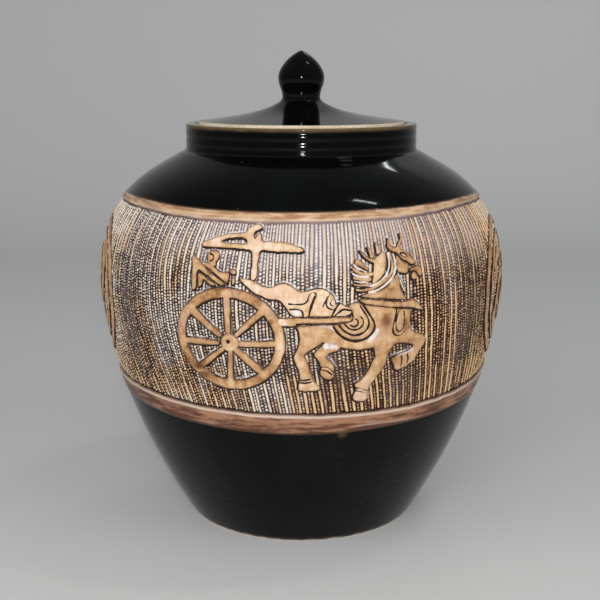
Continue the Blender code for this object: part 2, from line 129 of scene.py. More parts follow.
outside = wallCurve(wall)
alongWall = np.concatenate([[0], np.cumsum(np.hypot(*np.diff(outside, axis=0).T))])
wallLean = np.gradient(outside[:, 0], outside[:, 1])  # how fast the radius grows with height


def wallRadius(height):
    return np.interp(height, outside[:, 1], outside[:, 0])


def wallOutward(height):  # the wall's outward direction, as (radius, height)
    lean = np.interp(height, outside[:, 1], wallLean)
    length = np.hypot(1, lean)
    return 1 / length, -lean / length


def smoothStep(low, high, value):
    t = np.clip((value - low) / (high - low), 0, 1)
    return t * t * (3 - 2 * t)


def peak(middle, halfWidth, value):  # 1 at the middle, 0 past the half width
    return 1 - smoothStep(0, halfWidth, np.abs(value - middle))


girth = 2 * math.pi * wall["bellyRadius"] / mm  # the band unrolled, in millimetres at the widest ring


def softNoise(x, y, cell, seed):  # a smooth random field from -1 to 1 that meets itself round the jar
    columns, rows = max(int(round(girth / cell[0])), 1), 64
    table = np.random.default_rng(seed).uniform(-1, 1, (columns, rows))
    u = x / girth * columns
    v = y / cell[1]
    column, row = np.floor(u).astype(int), np.floor(v).astype(int)
    a, b = u - column, v - row
    a, b = a * a * (3 - 2 * a), b * b * (3 - 2 * b)
    left, right = column % columns, (column + 1) % columns
    under, over = row % rows, (row + 1) % rows
    low = table[left, under] * (1 - a) + table[right, under] * a
    high = table[left, over] * (1 - a) + table[right, over] * a
    return low * (1 - b) + high * b


def roundTable(values, x):  # a smooth line through values evenly round the jar, the first at the front
    count = len(values)
    table = np.array(values, float)
    u = x / girth * count
    index = np.floor(u).astype(int)
    t = u - index
    p0, p1, p2, p3 = (table[(index + step) % count] for step in (-1, 0, 1, 2))
    return 0.5 * (
        2 * p1
        + (p2 - p0) * t
        + (2 * p0 - 5 * p1 + 4 * p2 - p3) * t ** 2
        + (3 * p1 - p0 - 3 * p2 + p3) * t ** 3
    )


class Wire:  # one output socket, for sums written as Python
    def __init__(self, paint, socket):
        self.paint = paint
        self.socket = socket

    def __add__(self, other):
        return self.paint.node("Math", {"operation": "ADD"}, self, other)

    def __sub__(self, other):
        return self.paint.node("Math", {"operation": "SUBTRACT"}, self, other)

    def __rsub__(self, other):
        return self.paint.node("Math", {"operation": "SUBTRACT"}, other, self)

    def __mul__(self, other):
        return self.paint.node("Math", {"operation": "MULTIPLY"}, self, other)

    __radd__ = __add__
    __rmul__ = __mul__

    def clamped(self):
        return self.paint.node("Clamp", {}, self)


class Paint:  # the nodes of one material, on the object's own coordinates
    def __init__(self, name, fixed):
        self.material = bpy.data.materials.new(name)
        self.material.use_nodes = True
        self.tree = self.material.node_tree
        self.shader = self.tree.nodes["Principled BSDF"]
        for socket, value in fixed.items():
            self.shader.inputs[socket].default_value = value
        self.place = self.node("TexCoord", {}, out="Object")

    def feed(self, socket, value):
        if isinstance(value, Wire):
            self.tree.links.new(value.socket, socket)
        elif isinstance(value, tuple) and socket.type == "RGBA":
            socket.default_value = (*value, 1)
        else:
            socket.default_value = value

    def node(self, kind, settings, *ordered, out=None, **named):
        made = self.tree.nodes.new("ShaderNode" + kind)
        for key, value in settings.items():
            setattr(made, key, value)
        sockets = [socket for socket in made.inputs if socket.enabled]
        for socket, value in zip(sockets, ordered):
            self.feed(socket, value)
        for key, value in named.items():
            self.feed(next(socket for socket in sockets if socket.name == key), value)
        outputs = [socket for socket in made.outputs if socket.enabled]
        return Wire(self, next((socket for socket in outputs if socket.name == out), outputs[0]))

    def noise(self, scale, detail=3, stretch=(1, 1, 1)):
        placed = self.node("Mapping", {}, self.place, Scale=stretch)
        return self.node("TexNoise", {}, placed, Scale=scale, Detail=detail, Roughness=0.55)

    def spread(self, value, low, high):  # 0 below low, 1 above high, smooth between
        return self.node("MapRange", {"interpolation_type": "SMOOTHSTEP"}, value, low, high, 0.0, 1.0)

    def attribute(self, name):
        return self.node("Attribute", {"attribute_name": name}, out="Fac")

    def mix(self, factor, first, second):
        return self.node("Mix", {"data_type": "RGBA"}, factor, first, second)

    def bump(self, height, strength, distance, normal=None):
        extra = {"Normal": normal} if normal else {}
        return self.node("Bump", {}, Strength=strength, Distance=distance, Height=height, **extra)

    def finish(self, colour, roughness, normal):
        self.feed(self.shader.inputs["Base Color"], colour)
        self.feed(self.shader.inputs["Roughness"], roughness)
        self.feed(self.shader.inputs["Normal"], normal)
        return self.material


glaze = {
    "black": (0.0011, 0.0014, 0.0011),
    "greenBlack": (0.0025, 0.0035, 0.0028),
    "brown": (0.085, 0.047, 0.024),
    "olive": (0.135, 0.105, 0.045),
    "clay": (0.82, 0.72, 0.57),
    "clayShade": (0.62, 0.49, 0.34),
    "speck": (0.16, 0.10, 0.06),
    "gloss": 0.05,
    "reflection": 0.14,
    "clayRoughness": 0.72,
}


def glazeColour(paint, g):  # black glaze, which turns brown and then olive with the thin attribute
    cloud = paint.noise(18, 4)
    fleck = paint.noise(420, 2)
    colour = paint.mix(paint.spread(cloud, 0.42, 0.68), g["black"], g["greenBlack"])
    thin = paint.attribute("thin") + (cloud - 0.5) * 0.35 * paint.attribute("thin")
    colour = paint.mix(paint.spread(thin, 0.08, 0.62), colour, g["brown"])
    colour = paint.mix(paint.spread(thin, 0.60, 0.95), colour, g["olive"])
    return paint.mix(paint.spread(fleck, 0.735, 0.775) * 0.55, colour, g["speck"]), cloud


def glazePaint(name, g):  # the glaze, and unglazed clay where the bare attribute says
    paint = Paint(name, {"Metallic": 0.0, "IOR": 1.5, "Specular IOR Level": g["reflection"]})
    colour, cloud = glazeColour(paint, g)
    grain = paint.noise(900, 3)
    clay = paint.mix(paint.spread(grain + (cloud - 0.5) * 0.6, 0.38, 0.66), g["clay"], g["clayShade"])
    bare = paint.attribute("bare")
    colour = paint.mix(bare, colour, clay)
    rough = (g["gloss"] + 0.04 * cloud) * (1 - bare) + g["clayRoughness"] * bare
    peel = paint.bump(paint.noise(150, 2), 0.05, 0.0006)
    grit = paint.bump(grain * bare, 0.35, 0.0004, peel)
    return paint.finish(colour, rough, grit)


def link(name, mesh):
    piece = bpy.data.objects.new(name, mesh)
    bpy.context.scene.collection.objects.link(piece)
    return piece


def places(mesh):  # the corners of a mesh as an array
    spots = np.empty(len(mesh.vertices) * 3)
    mesh.vertices.foreach_get("co", spots)
    return spots.reshape(-1, 3)


def setPlaces(mesh, spots):
    mesh.vertices.foreach_set("co", spots.astype(np.float32).ravel())
    mesh.update()


def setAttribute(mesh, name, values):
    mesh.attributes.new(name, "FLOAT", "POINT").data.foreach_set("value", values.astype(np.float32))


def turned(name, outline, steps, closed=False):  # spins an outline of (radius, height) round the jar's axis
    shape = bmesh.new()
    corners = [shape.verts.new((radius, 0, height)) for radius, height in outline]
    edges = [shape.edges.new(pair) for pair in zip(corners, corners[1:])]
    if closed:
        edges.append(shape.edges.new((corners[-1], corners[0])))
    bmesh.ops.spin(
        shape,
        geom=corners + edges,
        cent=(0, 0, 0),
        axis=(0, 0, 1),
        angle=math.tau,
        steps=steps,
        use_merge=True,
    )
    bmesh.ops.remove_doubles(shape, verts=shape.verts[:], dist=0.000004)
    bmesh.ops.recalc_face_normals(shape, faces=shape.faces[:])
    mesh = bpy.data.meshes.new(name)
    shape.to_mesh(mesh)
    shape.free()
    mesh.shade_smooth()
    mesh.set_sharp_from_angle(angle=math.radians(40))
    return link(name, mesh)


# The unrolled band. Every motif is drawn in millimetres: x round the belly from the front, y up the jar.
wheel = {
    "middle": (-46.7, 156.1),
    "outer": (36.5, 33.0),
    "inner": (30.5, 27.2),
    "hub": (-45.8, 154.4),
    "hubRadius": 5.7,
    "eye": (-46.9, 155.0),
    "eyeRadius": 1.2,
    "tone": -0.38,
    "spokeTone": 0.05,
    "hubTone": 0.3,
    "spokes": [  # hub end, rim end, half width at each end
        ((-46.4, 161.3), (-47.1, 185.0), 1.5, 2.1),
        ((-40.9, 159.9), (-23.5, 176.0), 1.5, 2.1),
        ((-38.3, 153.8), (-14.5, 155.2), 1.6, 1.9),
        ((-41.2, 149.2), (-25.0, 135.5), 2.0, 2.4),
        ((-45.8, 148.0), (-47.4, 128.5), 1.5, 1.9),
        ((-51.2, 149.7), (-69.5, 135.5), 1.5, 1.9),
        ((-54.0, 153.7), (-78.5, 153.2), 1.4, 2.2),
        ((-52.6, 159.0), (-71.0, 173.6), 1.7, 2.7),
    ],
}
patches = {  # raised shapes: tone from -1 brown to 1 pale, then the outline
    "canopy": (0.7, [
        (-66.7, 213), (-66.2, 215.3), (-60.5, 217.8), (-55, 219.6), (-48, 221), (-40.5, 221.8),
        (-37.2, 222.5), (-35.2, 224.8), (-33, 226.3), (-30.4, 227.1), (-27.9, 226.8), (-26.3, 225.4),
        (-27.6, 224.5), (-30.6, 223.6), (-32, 221.6), (-31.7, 219.6), (-30.3, 218.5), (-29.6, 219.6),
        (-29, 221.6), (-27.8, 222.1), (-26.6, 221), (-26.1, 219), (-25.8, 217.4), (-20, 217.2),
        (-13, 217.1), (-8, 216.5), (-3.5, 215.2), (0.5, 213.7), (1.8, 212.5), (0.3, 211.6), (-5, 211.5),
        (-12, 211.8), (-20, 212.2), (-27.4, 212.6), (-27.6, 205), (-28, 199), (-28.4, 194.6),
        (-31.6, 194.4), (-31.2, 200), (-31, 206), (-31.4, 212.6), (-38, 213), (-48, 213.1), (-58, 213.1),
    ]),
    "driverHead": (0.1, [
        (-61.6, 209.2), (-59.5, 210.6), (-56.5, 210.8), (-54, 209.8), (-53.4, 207.6), (-54, 205.4),
        (-55.6, 204), (-55, 202.4), (-56.5, 201.4), (-60, 202.6), (-61.2, 205),
    ]),
    "driverBody": (0.1, [
        (-63.6, 203.4), (-61, 203.2), (-57.4, 202.2), (-55.3, 200.6), (-53, 198.9), (-49, 197.9),
        (-46.3, 198.3), (-45.6, 196.2), (-46.2, 193.6), (-46.6, 191.3), (-49.2, 193.2), (-53.2, 195.9),
        (-58, 198.9), (-62.4, 201.2),
    ]),
    "driverHand": (0.1, [
        (-45.2, 200.1), (-41.2, 199.7), (-41.3, 197.6), (-43.4, 197.3), (-44.6, 198.2),
    ]),
    "reinKnot": (0, [
        (-43.8, 195.2), (-41.6, 195.4), (-41.8, 191), (-43.4, 190.6),
    ]),
    "seatBack": (0.15, [
        (-73.2, 206.8), (-70.6, 206.6), (-67.6, 204.4), (-64.2, 201.3), (-60, 198.6), (-54, 194.9),
        (-47.4, 190.6), (-50.8, 190.3), (-56, 193), (-61.5, 196.2), (-67.9, 199.9), (-68.2, 194),
        (-68.3, 187.2), (-70.9, 185.9), (-71.3, 192), (-71.7, 200),
    ]),
    "seatSlat": (0.1, [
        (-67.3, 198), (-60.8, 194.3), (-54.2, 190.4), (-57, 189.9), (-62, 192.6), (-63.3, 193.2),
        (-63.8, 189.4), (-66.3, 188.2), (-67, 192),
    ]),
    "shaftBeast": (0.78, [
        (-38.8, 195), (-35, 194.5), (-31.4, 194.5), (-28.6, 193), (-25.5, 191.1), (-21.5, 190.2),
        (-18, 190.4), (-15.2, 191.7), (-12.2, 192.9), (-9.3, 192.9), (-6.6, 191.5), (-3.6, 189),
        (-0.4, 187.8), (2.8, 188.3), (6.5, 189.5), (11, 190), (14.6, 189.2), (17.6, 187.5), (19.7, 185),
        (20.6, 182.2), (20.9, 179.9), (22.6, 180.9), (24.6, 180.4), (26.7, 178.4), (29.8, 178),
        (30.9, 176.1), (29, 172.9), (19, 172.9), (8, 172.9), (-3.2, 172.9), (-5.6, 173.6), (-7.3, 175.2),
        (-8.8, 177.5), (-10.3, 179.7), (-12.2, 181.8), (-14.4, 182.9), (-18, 183.4), (-23, 184.4),
        (-28, 186.6), (-32.4, 189.2), (-35, 191.4), (-37, 193.4),
    ]),
    "shaft": (0.35, [
        (-15.5, 171.3), (-8, 171.4), (4, 171.6), (16, 171.7), (26.5, 171.7), (30.6, 171), (31.6, 170.2),
        (29, 169), (20, 168.6), (8, 168.6), (0.5, 168.2), (-4, 167.4), (-8, 166.8), (-13.5, 167),
    ]),
    "horse": (0.22, [
        (-3.2, 166.3), (3, 167), (10, 167.2), (17, 167), (24, 167), (31.5, 169), (31.8, 171), (32.3, 173),
        (31.6, 175.4), (29.6, 178), (28.9, 179.4), (32.4, 180.3), (35.2, 180.6), (37.4, 178.8), (42.5, 178),
        (50, 176.9), (57, 175.7), (63, 174.9), (70, 174.4), (70.9, 171.4), (70.4, 167.2), (69.7, 163.4),
        (71.3, 160.9), (74.4, 158.8), (78, 156.7), (81.6, 155.6), (84, 153.9), (83.8, 151.2), (82.2, 148.4),
        (80.2, 145.6), (78.4, 142.6), (77, 140), (75.6, 138), (73, 137.6), (71.3, 135.4), (68.9, 135.4),
        (66.7, 134.3), (64.2, 134), (62.4, 135.2), (61.8, 138), (60.7, 140.2), (59.2, 141.6), (60.4, 143.4),
        (64, 144.5), (69.2, 145.4), (73, 146.7), (75.4, 148.8), (74.2, 150.7), (70, 151.8), (65, 152.5),
        (61.2, 152.7), (58.8, 150.3), (57, 147), (56, 143.4), (55.2, 139.8), (53.4, 136.2), (51, 132.8),
        (48.6, 129.4), (46.6, 126.6), (45.1, 124.2), (45, 120.2), (45.2, 117), (44.2, 115), (39.8, 115),
        (36, 115.8), (34.6, 117.8), (35.4, 120.6), (36.6, 123), (36.2, 125.4), (35, 127.2), (38.2, 128.8),
        (41.6, 131.6), (44, 135), (45.4, 139.2), (47, 142.6), (48.1, 145), (47.4, 148), (46.6, 151.6),
        (43.5, 151.2), (40, 150.6), (36, 150.7), (31, 151.3), (27.4, 152.2), (24.2, 152.8), (23.6, 151.2),
        (20, 149.9), (16.8, 148.8), (15.3, 147.2), (16.2, 145.4), (18.6, 143.3), (20.2, 140.8),
        (20.9, 138.2), (20.3, 135.6), (20.2, 132.4), (18.4, 131.1), (15.8, 131.7), (13.6, 133.7),
        (11.8, 135.9), (12.6, 138.4), (12.4, 141.2), (11, 143.9), (9.2, 146.2), (7.6, 148.3), (9.6, 150.6),
        (12.4, 153.6), (14.6, 156), (13, 156.2), (10, 154), (6.6, 151.9), (3.6, 149.7), (1.3, 147.5),
        (2.6, 145.1), (4.1, 141.6), (4.8, 138), (6.4, 134.8), (6.6, 131.8), (8.6, 129.2), (11.6, 126.6),
        (12.2, 124.4), (7, 123.7), (1, 123.5), (-2.2, 124), (-2, 128), (-0.8, 131.6), (-1.2, 135.4),
        (-2, 139.2), (-3.9, 142.8), (-5.4, 146), (-3.8, 149.6), (-1.9, 153.2), (-0.9, 157), (-0.9, 160.6),
        (-1.9, 163.8),
    ]),
    "shoulder": (0.15, [
        (36.3, 184.6), (40, 185.4), (46, 186), (50.6, 187.4), (54.6, 189.6), (57.8, 192.2), (60.2, 195.4),
        (61.6, 196.6), (62.6, 194.6), (63.1, 191.4), (62.9, 189), (63.9, 186.3), (65.1, 183.8),
        (66.7, 181.4), (67.2, 180.4), (61, 181.2), (54, 182), (46, 182.9), (38.5, 184.2),
    ]),
    "yoke": (0.25, [
        (35.6, 181.6), (37.6, 182.6), (44, 181.5), (52, 180.5), (60, 179.3), (67, 178.8), (70.4, 179.7),
        (73.6, 179.5), (75.8, 177.9), (77.4, 175.6), (80.2, 173.1), (76.4, 173.6), (72, 175.2), (66, 175.6),
        (58, 176.6), (50, 178), (42, 179.4),
    ]),
    "neck": (0.3, [
        (54.4, 210.2), (52.4, 210.2), (49.8, 208.4), (47.5, 206.8), (46.3, 204.4), (45.7, 201.8),
        (45.6, 199.2), (45.7, 196.6), (44.9, 194.2), (44.4, 191.9), (46.2, 192.3), (49, 193.8),
        (50.8, 195.2), (52.5, 197.7), (53.9, 200.5), (54.8, 204.4), (55, 208.4),
    ]),
    "jaw": (-0.15, [
        (61.7, 208.4), (61.6, 204), (61.8, 200), (62.2, 197.9), (65, 197.1), (68, 196.6), (69.5, 197.8),
        (70, 200.2), (70.3, 202.2), (67.4, 203.6), (65.2, 204.7), (64, 207),
    ]),
    "brow": (0.05, [
        (56.4, 213.6), (57.2, 216), (58, 218.6), (58.8, 216), (59.4, 213.6), (62, 212.7), (63.6, 212.6),
        (64.6, 214.6), (66.6, 216.2), (67.4, 218.4), (68, 220.8), (69, 218.2), (67.9, 215.6), (66, 213.4),
        (65.6, 211.4), (68.2, 210.3), (71, 208.6), (73.4, 206.3), (75.4, 204), (76.4, 202.1), (74.4, 201.6),
        (71.8, 202.2), (70.2, 203.4), (67.6, 204.6), (65.4, 206.2), (64.4, 208.4), (61, 209.6),
        (58.6, 210.6),
    ]),
    "mouth": (0.1, [
        (70.8, 197.6), (72.4, 199.4), (75.2, 200.4), (77.6, 200.4), (79.4, 199), (80.2, 196.6),
        (79.6, 194.4), (77.8, 194), (76.6, 196.2), (74.8, 197.9), (72.6, 198.1),
    ]),
    "lip": (0.1, [
        (71.4, 194.4), (73, 197), (75.2, 196.6), (76.4, 194.6), (75.2, 192.5), (73.2, 192.2),
    ]),
    "pawHatch": (0.5, [
        (23.6, 174.9), (25.3, 176.4), (27.7, 175.6), (27.6, 173.6), (24.6, 173.4),
    ]),
}
holes = {  # places cut back to the ground inside a raised shape
    "canopyHatch": [
        (-54.2, 216.7), (-50.0, 218.3), (-45.0, 219.2), (-39.5, 219.5), (-37.0, 219.0), (-35.7, 217.6),
        (-35.6, 215.9), (-40.0, 215.4), (-46.0, 215.3), (-51.5, 215.7),
    ],
}
locks = [  # mane locks and the rein: half width at each end, then the line
    (1.4, 0.25, [(49.9, 210.4), (49.7, 212.4), (49, 215.6)]),
    (1.5, 0.25, [(45.2, 208.3), (44.6, 210.2), (43.2, 213.4)]),
    (1.1, 0.3, [(46.4, 205.3), (43.9, 205.9), (41.3, 207.5), (39.4, 209.6), (37.6, 211.6)]),
    (0.6, 1.5, [(41.6, 200.9), (39.4, 202.6), (37.2, 204.2), (35.4, 205)]),
    (0.9, 0.55, [(44.2, 197.5), (41.6, 197.4), (38.1, 197.9), (35.1, 199.3), (32.4, 201.1)]),
    (1, 0.75, [(42.6, 194.5), (38.6, 194.5), (35.7, 195.3), (32.6, 195.8)]),
    (0.8, 0.65, [(41.4, 191.4), (38.1, 190.9), (35.1, 191.1), (32.7, 191.8)]),
    (0.7, 0.95, [
        (34, 188.5), (38.6, 187.9), (44.5, 189), (50.4, 191.6), (55.8, 195.2), (58.5, 199.2), (59.1, 203.9),
        (58.1, 208.4), (57.6, 210.4),
    ]),
]
ribs = [  # pale ribs of bare clay beside them, given the same way
    (0.3, 0.4, [(40.6, 199.1), (37.8, 200.3), (34.8, 201.8), (32.6, 203.8)]),
    (0.3, 0.35, [(42, 196.1), (38.1, 196.2), (34.2, 197.1), (31.9, 198.3)]),
    (0.3, 0.35, [(41.6, 192.7), (37.8, 192.8), (35.7, 193.1), (32.8, 193.7)]),
    (0.35, 0.75, [
        (34, 189.9), (41.6, 190.2), (46.3, 191.1), (50.6, 193.3), (54.5, 196.9), (56.4, 200.8), (57, 205),
        (56.4, 209.2),
    ]),
    (0.6, 0.75, [
        (42.2, 186.6), (47.5, 187.4), (53.9, 190.7), (59, 195.4), (60.9, 200), (61, 204.4), (60.4, 208.6),
    ]),
    (0.45, 0.25, [(62.3, 197), (63.6, 193.6), (64.4, 189.6), (66.6, 185.6)]),
]
cuts = [  # dark lines cut into the raised shapes: half width, then the line
    (0.45, [(-7.5, 180.7), (-4, 180.4), (0, 180.4), (2.2, 181.1), (3.6, 182.6)]),
    (0.4, [(-7.2, 177.4), (-3.4, 177.5), (-0.6, 176.9), (0.8, 175.6), (0.9, 173.2)]),
    (0.75, [(8.1, 185), (7.2, 182.4), (6, 179.4), (5, 176), (4.6, 173)]),
    (0.3, [(3.7, 182.6), (4.3, 185.2), (5.4, 187.1), (7.2, 187.8), (8.9, 187), (8.8, 184.6)]),
    (0.5, [(15.8, 185), (14.4, 182), (13, 179)]),
    (0.35, [(17.6, 187), (16, 184), (15, 181), (15.4, 178.8), (17.5, 177.3), (20, 177)]),
    (0.4, [(19, 183.6), (17.7, 182), (17.5, 180.3), (18.8, 179.3), (20.4, 179.6)]),
    (0.7, [(23.2, 180.6), (21.4, 178.4), (19.8, 175.7), (18.7, 173)]),
    (0.45, [(20.4, 173.4), (22.4, 174.8), (24.3, 176.6), (26.4, 177.1), (29.4, 176.4), (31, 176)]),
    (0.4, [(-3, 167.9), (3, 168.2), (12, 168.1), (21, 168.2), (27.5, 168.3), (31.4, 169.8)]),
    (0.5, [(30.2, 166.8), (31.6, 165.8), (34, 166), (35.3, 167.8), (34.8, 169.8), (33.2, 170.8)]),
    (0.5, [
        (26.8, 167.2), (29.3, 164.6), (33, 163.5), (36.6, 164.6), (38.6, 167.2), (38.2, 170.2),
        (36.6, 171.8),
    ]),
    (0.6, [
        (23.3, 166.6), (26.5, 163), (31, 160.4), (35.2, 160.1), (39.2, 161.6), (41.7, 164.6), (42.2, 168.2),
        (40.6, 172.2), (38, 175.6), (36.4, 178.6),
    ]),
    (0.75, [
        (19.8, 165.8), (23, 161.4), (27.2, 158.2), (32.2, 156.4), (37.2, 156.4), (42, 158.3), (45.2, 161.6),
        (46.2, 165.6), (44.8, 169.2), (42, 173.4), (39.4, 177.2), (38, 179.6),
    ]),
    (0.45, [
        (60.6, 174.6), (60, 171), (59.4, 168), (58.6, 165), (58.4, 161.6), (59.5, 158.9), (61.8, 157.6),
        (64.2, 157.7), (66.2, 159.2), (67.6, 161),
    ]),
    (0.55, [
        (65.9, 173), (66.3, 169), (66.3, 165), (65.8, 162), (64, 160.2), (61.8, 160.8), (60.6, 163.4),
        (60.4, 167), (61, 171), (62, 173.6),
    ]),
    (0.4, [(66.7, 143.4), (67.5, 140.4), (67, 136.8)]),
    (0.4, [(71, 144.2), (72.2, 141.2), (71.8, 138)]),
    (0.35, [(-1.6, 131.4), (2, 131), (5.8, 131.9)]),
    (0.35, [(-2, 129.6), (2, 129), (6.6, 129.9)]),
    (0.35, [(12.6, 139.9), (16, 140.1), (18.6, 138.5), (20.4, 136.2)]),
    (0.35, [(13, 138), (16.6, 137.5), (19.4, 134.8)]),
    (0.35, [(36.8, 124.6), (41, 123.5), (45, 121.7)]),
    (0.35, [(36.8, 122.6), (41, 121.3), (45, 120)]),
    (0.4, [
        (65.2, 208.6), (67, 209.2), (69.2, 208.4), (70.4, 206.6), (68.8, 206), (66.8, 206.7), (65.2, 208.4),
    ]),
    (0.4, [(-59.8, 208.9), (-57.6, 208.4), (-57, 206.6), (-57.9, 205), (-59.6, 204.6)]),
    (0.45, [(56.6, 210.9), (59.4, 209.9), (62.6, 209.6), (64.2, 207.6), (66, 205.2), (69.6, 203.6)]),
]
paleCuts = [  # wide slanted cuts that show pale clay
    [(-5.8, 177.1), (-2.6, 177.2), (-0.4, 176.4), (0, 174.6), (-1.6, 173.6), (-4.2, 174.2), (-5.6, 175.6)],
    [(13.2, 154.6), (15.2, 156.3), (18.6, 155.4), (23, 153.6), (22.6, 152.6), (17.4, 152.4), (13.4, 152.3)],
    [(10, 167.2), (17, 167.2), (20.4, 165.8), (21.6, 163), (17, 165.4), (12, 166.2)],
    [(21, 180), (23, 181.2), (22.6, 178.6), (20.8, 176), (19.6, 176.2), (20.2, 178.2)],
    [(42, 157.6), (46, 160.8), (47.6, 165), (49, 162.6), (47.4, 158.8), (44, 156.2), (41, 155.2)],
    [
        (75.4, 149.6), (74.8, 147.2), (71.6, 145.8), (66, 144.8), (62, 143.8), (64, 145.4), (69, 147),
        (72.6, 148.8),
    ],
    [(35.6, 178.8), (37.2, 177.2), (38.8, 174.8), (38, 173.8), (36.2, 176)],
]
scorches = [  # darker brown patches: middle, reach, strength
    ((-70, 137), (5.5, 3.5), 0.9), ((-66, 131.6), (6, 2.6), 0.7), ((53.8, 167.8), (4.5, 5), 0.75),
    ((67.5, 166), (2, 6), 0.6), ((13, 158.5), (6, 2.5), 0.35), ((58, 187.5), (3, 2.5), 0.45),
    ((62, 160), (4, 2.5), 0.3), ((2, 126), (5, 2), 0.3), ((-54, 189), (20, 4.5), 0.22),
    ((58, 182), (9, 7), 0.22), ((20, 160), (8, 6), 0.1), ((-24, 160), (5, 14), 0.15),
]
tints = [  # paler patches of the raised shapes, given the same way
    ((-12, 156), (5.5, 22), 1), ((-40, 125), (22, 5), 0.35), ((-46, 154), (7, 7), 0.35),
    ((10, 162), (9, 5), 0.25), ((49, 201), (6, 8), 0.3), ((44, 119), (9, 6), 0.35), ((3, 127), (8, 5), 0.3),
    ((40, 135), (10, 8), 0.2),
]


def whorl(middle, startAngle, turn, fromRadius, toRadius, steps=14):  # points of a spiral
    share = np.linspace(0, 1, steps)
    angle = math.radians(startAngle) + math.radians(turn) * share
    radius = fromRadius + (toRadius - fromRadius) * share
    return list(zip(middle[0] + radius * np.cos(angle), middle[1] + radius * np.sin(angle)))


roundel = {
    "places": (198.0, -206.0),  # round the jar
    "height": 171.5,
    "tone": 0.2,
    "outer": (50.0, 48.5),
    "ringWidth": 4.6,
    "innerRing": (39.0, 38.0),
    "innerWidth": 2.2,
    "boss": 6.5,
    "whorls": 4,
    "arm": (0, 150, 9, 34, (1.0, 2.6)),  # start and turn in degrees, first and last radius, half widths
    "spur": (40, 60, 12, 20, (1.4, 0.5)),
    "curl": (160, -330, 9.0, 2.0, (1.9, 0.8)),
    "curlTurn": 128,  # a curl's middle lies this far on from its arm's start
    "curlReach": 25,
}
cloud = {
    "places": ((313.0, 1), (-320.0, -1)),  # round the jar, and 1 or -1 for the way that it faces
    "tone": 0.2,
    "scrolls": ((193.0, -90), (146.0, 90)),  # height, and the angle at which a scroll starts
    "scrollTurn": 560,
    "reach": 15.0,
    "link": ((-12, 181), (-4, 176), (4, 165), (12, 160)),  # the stroke that joins the scrolls
    "curls": ((20, 206, 200), (-21, 133, 20), (22, 170, 120), (-22, 172, 300)),  # across, height, start
    "curlTurn": 400,
}


def rounded(points, closed, passes=2):  # a hand-cut outline: every corner taken off twice
    line = np.array(points, float)
    for _ in range(passes):
        ahead = np.roll(line, -1, axis=0) if closed else line[1:]
        here = line if closed else line[:-1]
        cut = np.stack([0.75 * here + 0.25 * ahead, 0.25 * here + 0.75 * ahead], 1).reshape(-1, 2)
        line = cut if closed else np.concatenate([line[:1], cut, line[-1:]])
    return line


class Motif:  # one raised shape, hole or cut of the band, with the test of how far places are from it
    def __init__(self, kind, points, tone=0.0, widths=(0.0, 0.0)):
        self.kind = kind
        self.closed = kind in ("patch", "hole", "pale")
        self.line = rounded(points, self.closed)
        self.tone = tone
        self.widths = widths
        margin = 4 + max(widths)
        self.low = self.line.min(0) - margin
        self.high = self.line.max(0) + margin

    def distance(self, x, y):  # negative inside
        starts = self.line if self.closed else self.line[:-1]
        ends = np.roll(self.line, -1, axis=0) if self.closed else self.line[1:]
        lengths = np.hypot(*(ends - starts).T)
        reached = np.concatenate([[0], np.cumsum(lengths)]) / lengths.sum()
        gap = np.full(x.shape, 1e6)
        inside = np.zeros(x.shape, bool)
        for index, ((ax, ay), (bx, by)) in enumerate(zip(starts, ends)):
            ux, uy = bx - ax, by - ay
            t = np.clip(((x - ax) * ux + (y - ay) * uy) / max(ux * ux + uy * uy, 1e-9), 0, 1)
            away = np.hypot(x - ax - t * ux, y - ay - t * uy)
            if self.closed:
                crossing = (ay > y) != (by > y)
                inside ^= crossing & (x < ux * (y - ay) / (uy if uy else 1e-9) + ax)
            else:
                share = reached[index] + t * (reached[index + 1] - reached[index])
                away = away - (self.widths[0] + (self.widths[1] - self.widths[0]) * share)
            gap = np.minimum(gap, away)
        return np.where(inside, -gap, gap) if self.closed else gap

    def near(self, x, y):
        return (x > self.low[0]) & (x < self.high[0]) & (y > self.low[1]) & (y < self.high[1])


def oval(middle, across, up):
    ring = np.linspace(0, math.tau, 48, endpoint=False)
    return [(middle[0] + across * math.cos(a), middle[1] + up * math.sin(a)) for a in ring]


def dab(middle):  # a line too short to see, which makes a round motif
    return [middle, (middle[0] + 0.1, middle[1])]


def cartScene(shift):  # the horse and cart, moved round the jar
    def moved(points):
        return [(shift + x, y) for x, y in points]

    motifs = [Motif("patch", moved(points), tone) for tone, points in patches.values()]
    motifs += [Motif("hole", moved(points)) for points in holes.values()]
    motifs += [Motif("stroke", moved(points), 0.25, (first, last)) for first, last, points in locks]
    motifs += [Motif("rib", moved(points), 1.0, (first, last)) for first, last, points in ribs]
    motifs += [Motif("cut", moved(points), 0, (width, width * 0.7)) for width, points in cuts]
    motifs += [Motif("pale", moved(points)) for points in paleCuts]
    for kind, size in (("patch", wheel["outer"]), ("hole", wheel["inner"])):
        motifs.append(Motif(kind, moved(oval(wheel["middle"], *size)), wheel["tone"]))
    for hubEnd, rimEnd, thin, wide in wheel["spokes"]:
        motifs.append(Motif("spoke", moved([hubEnd, rimEnd]), wheel["spokeTone"], (thin, wide)))
    for kind, part in (("boss", "hub"), ("dot", "eye")):
        radius = wheel[part + "Radius"]
        motifs.append(Motif(kind, moved(dab(wheel[part])), wheel["hubTone"], (radius, radius)))
    return motifs


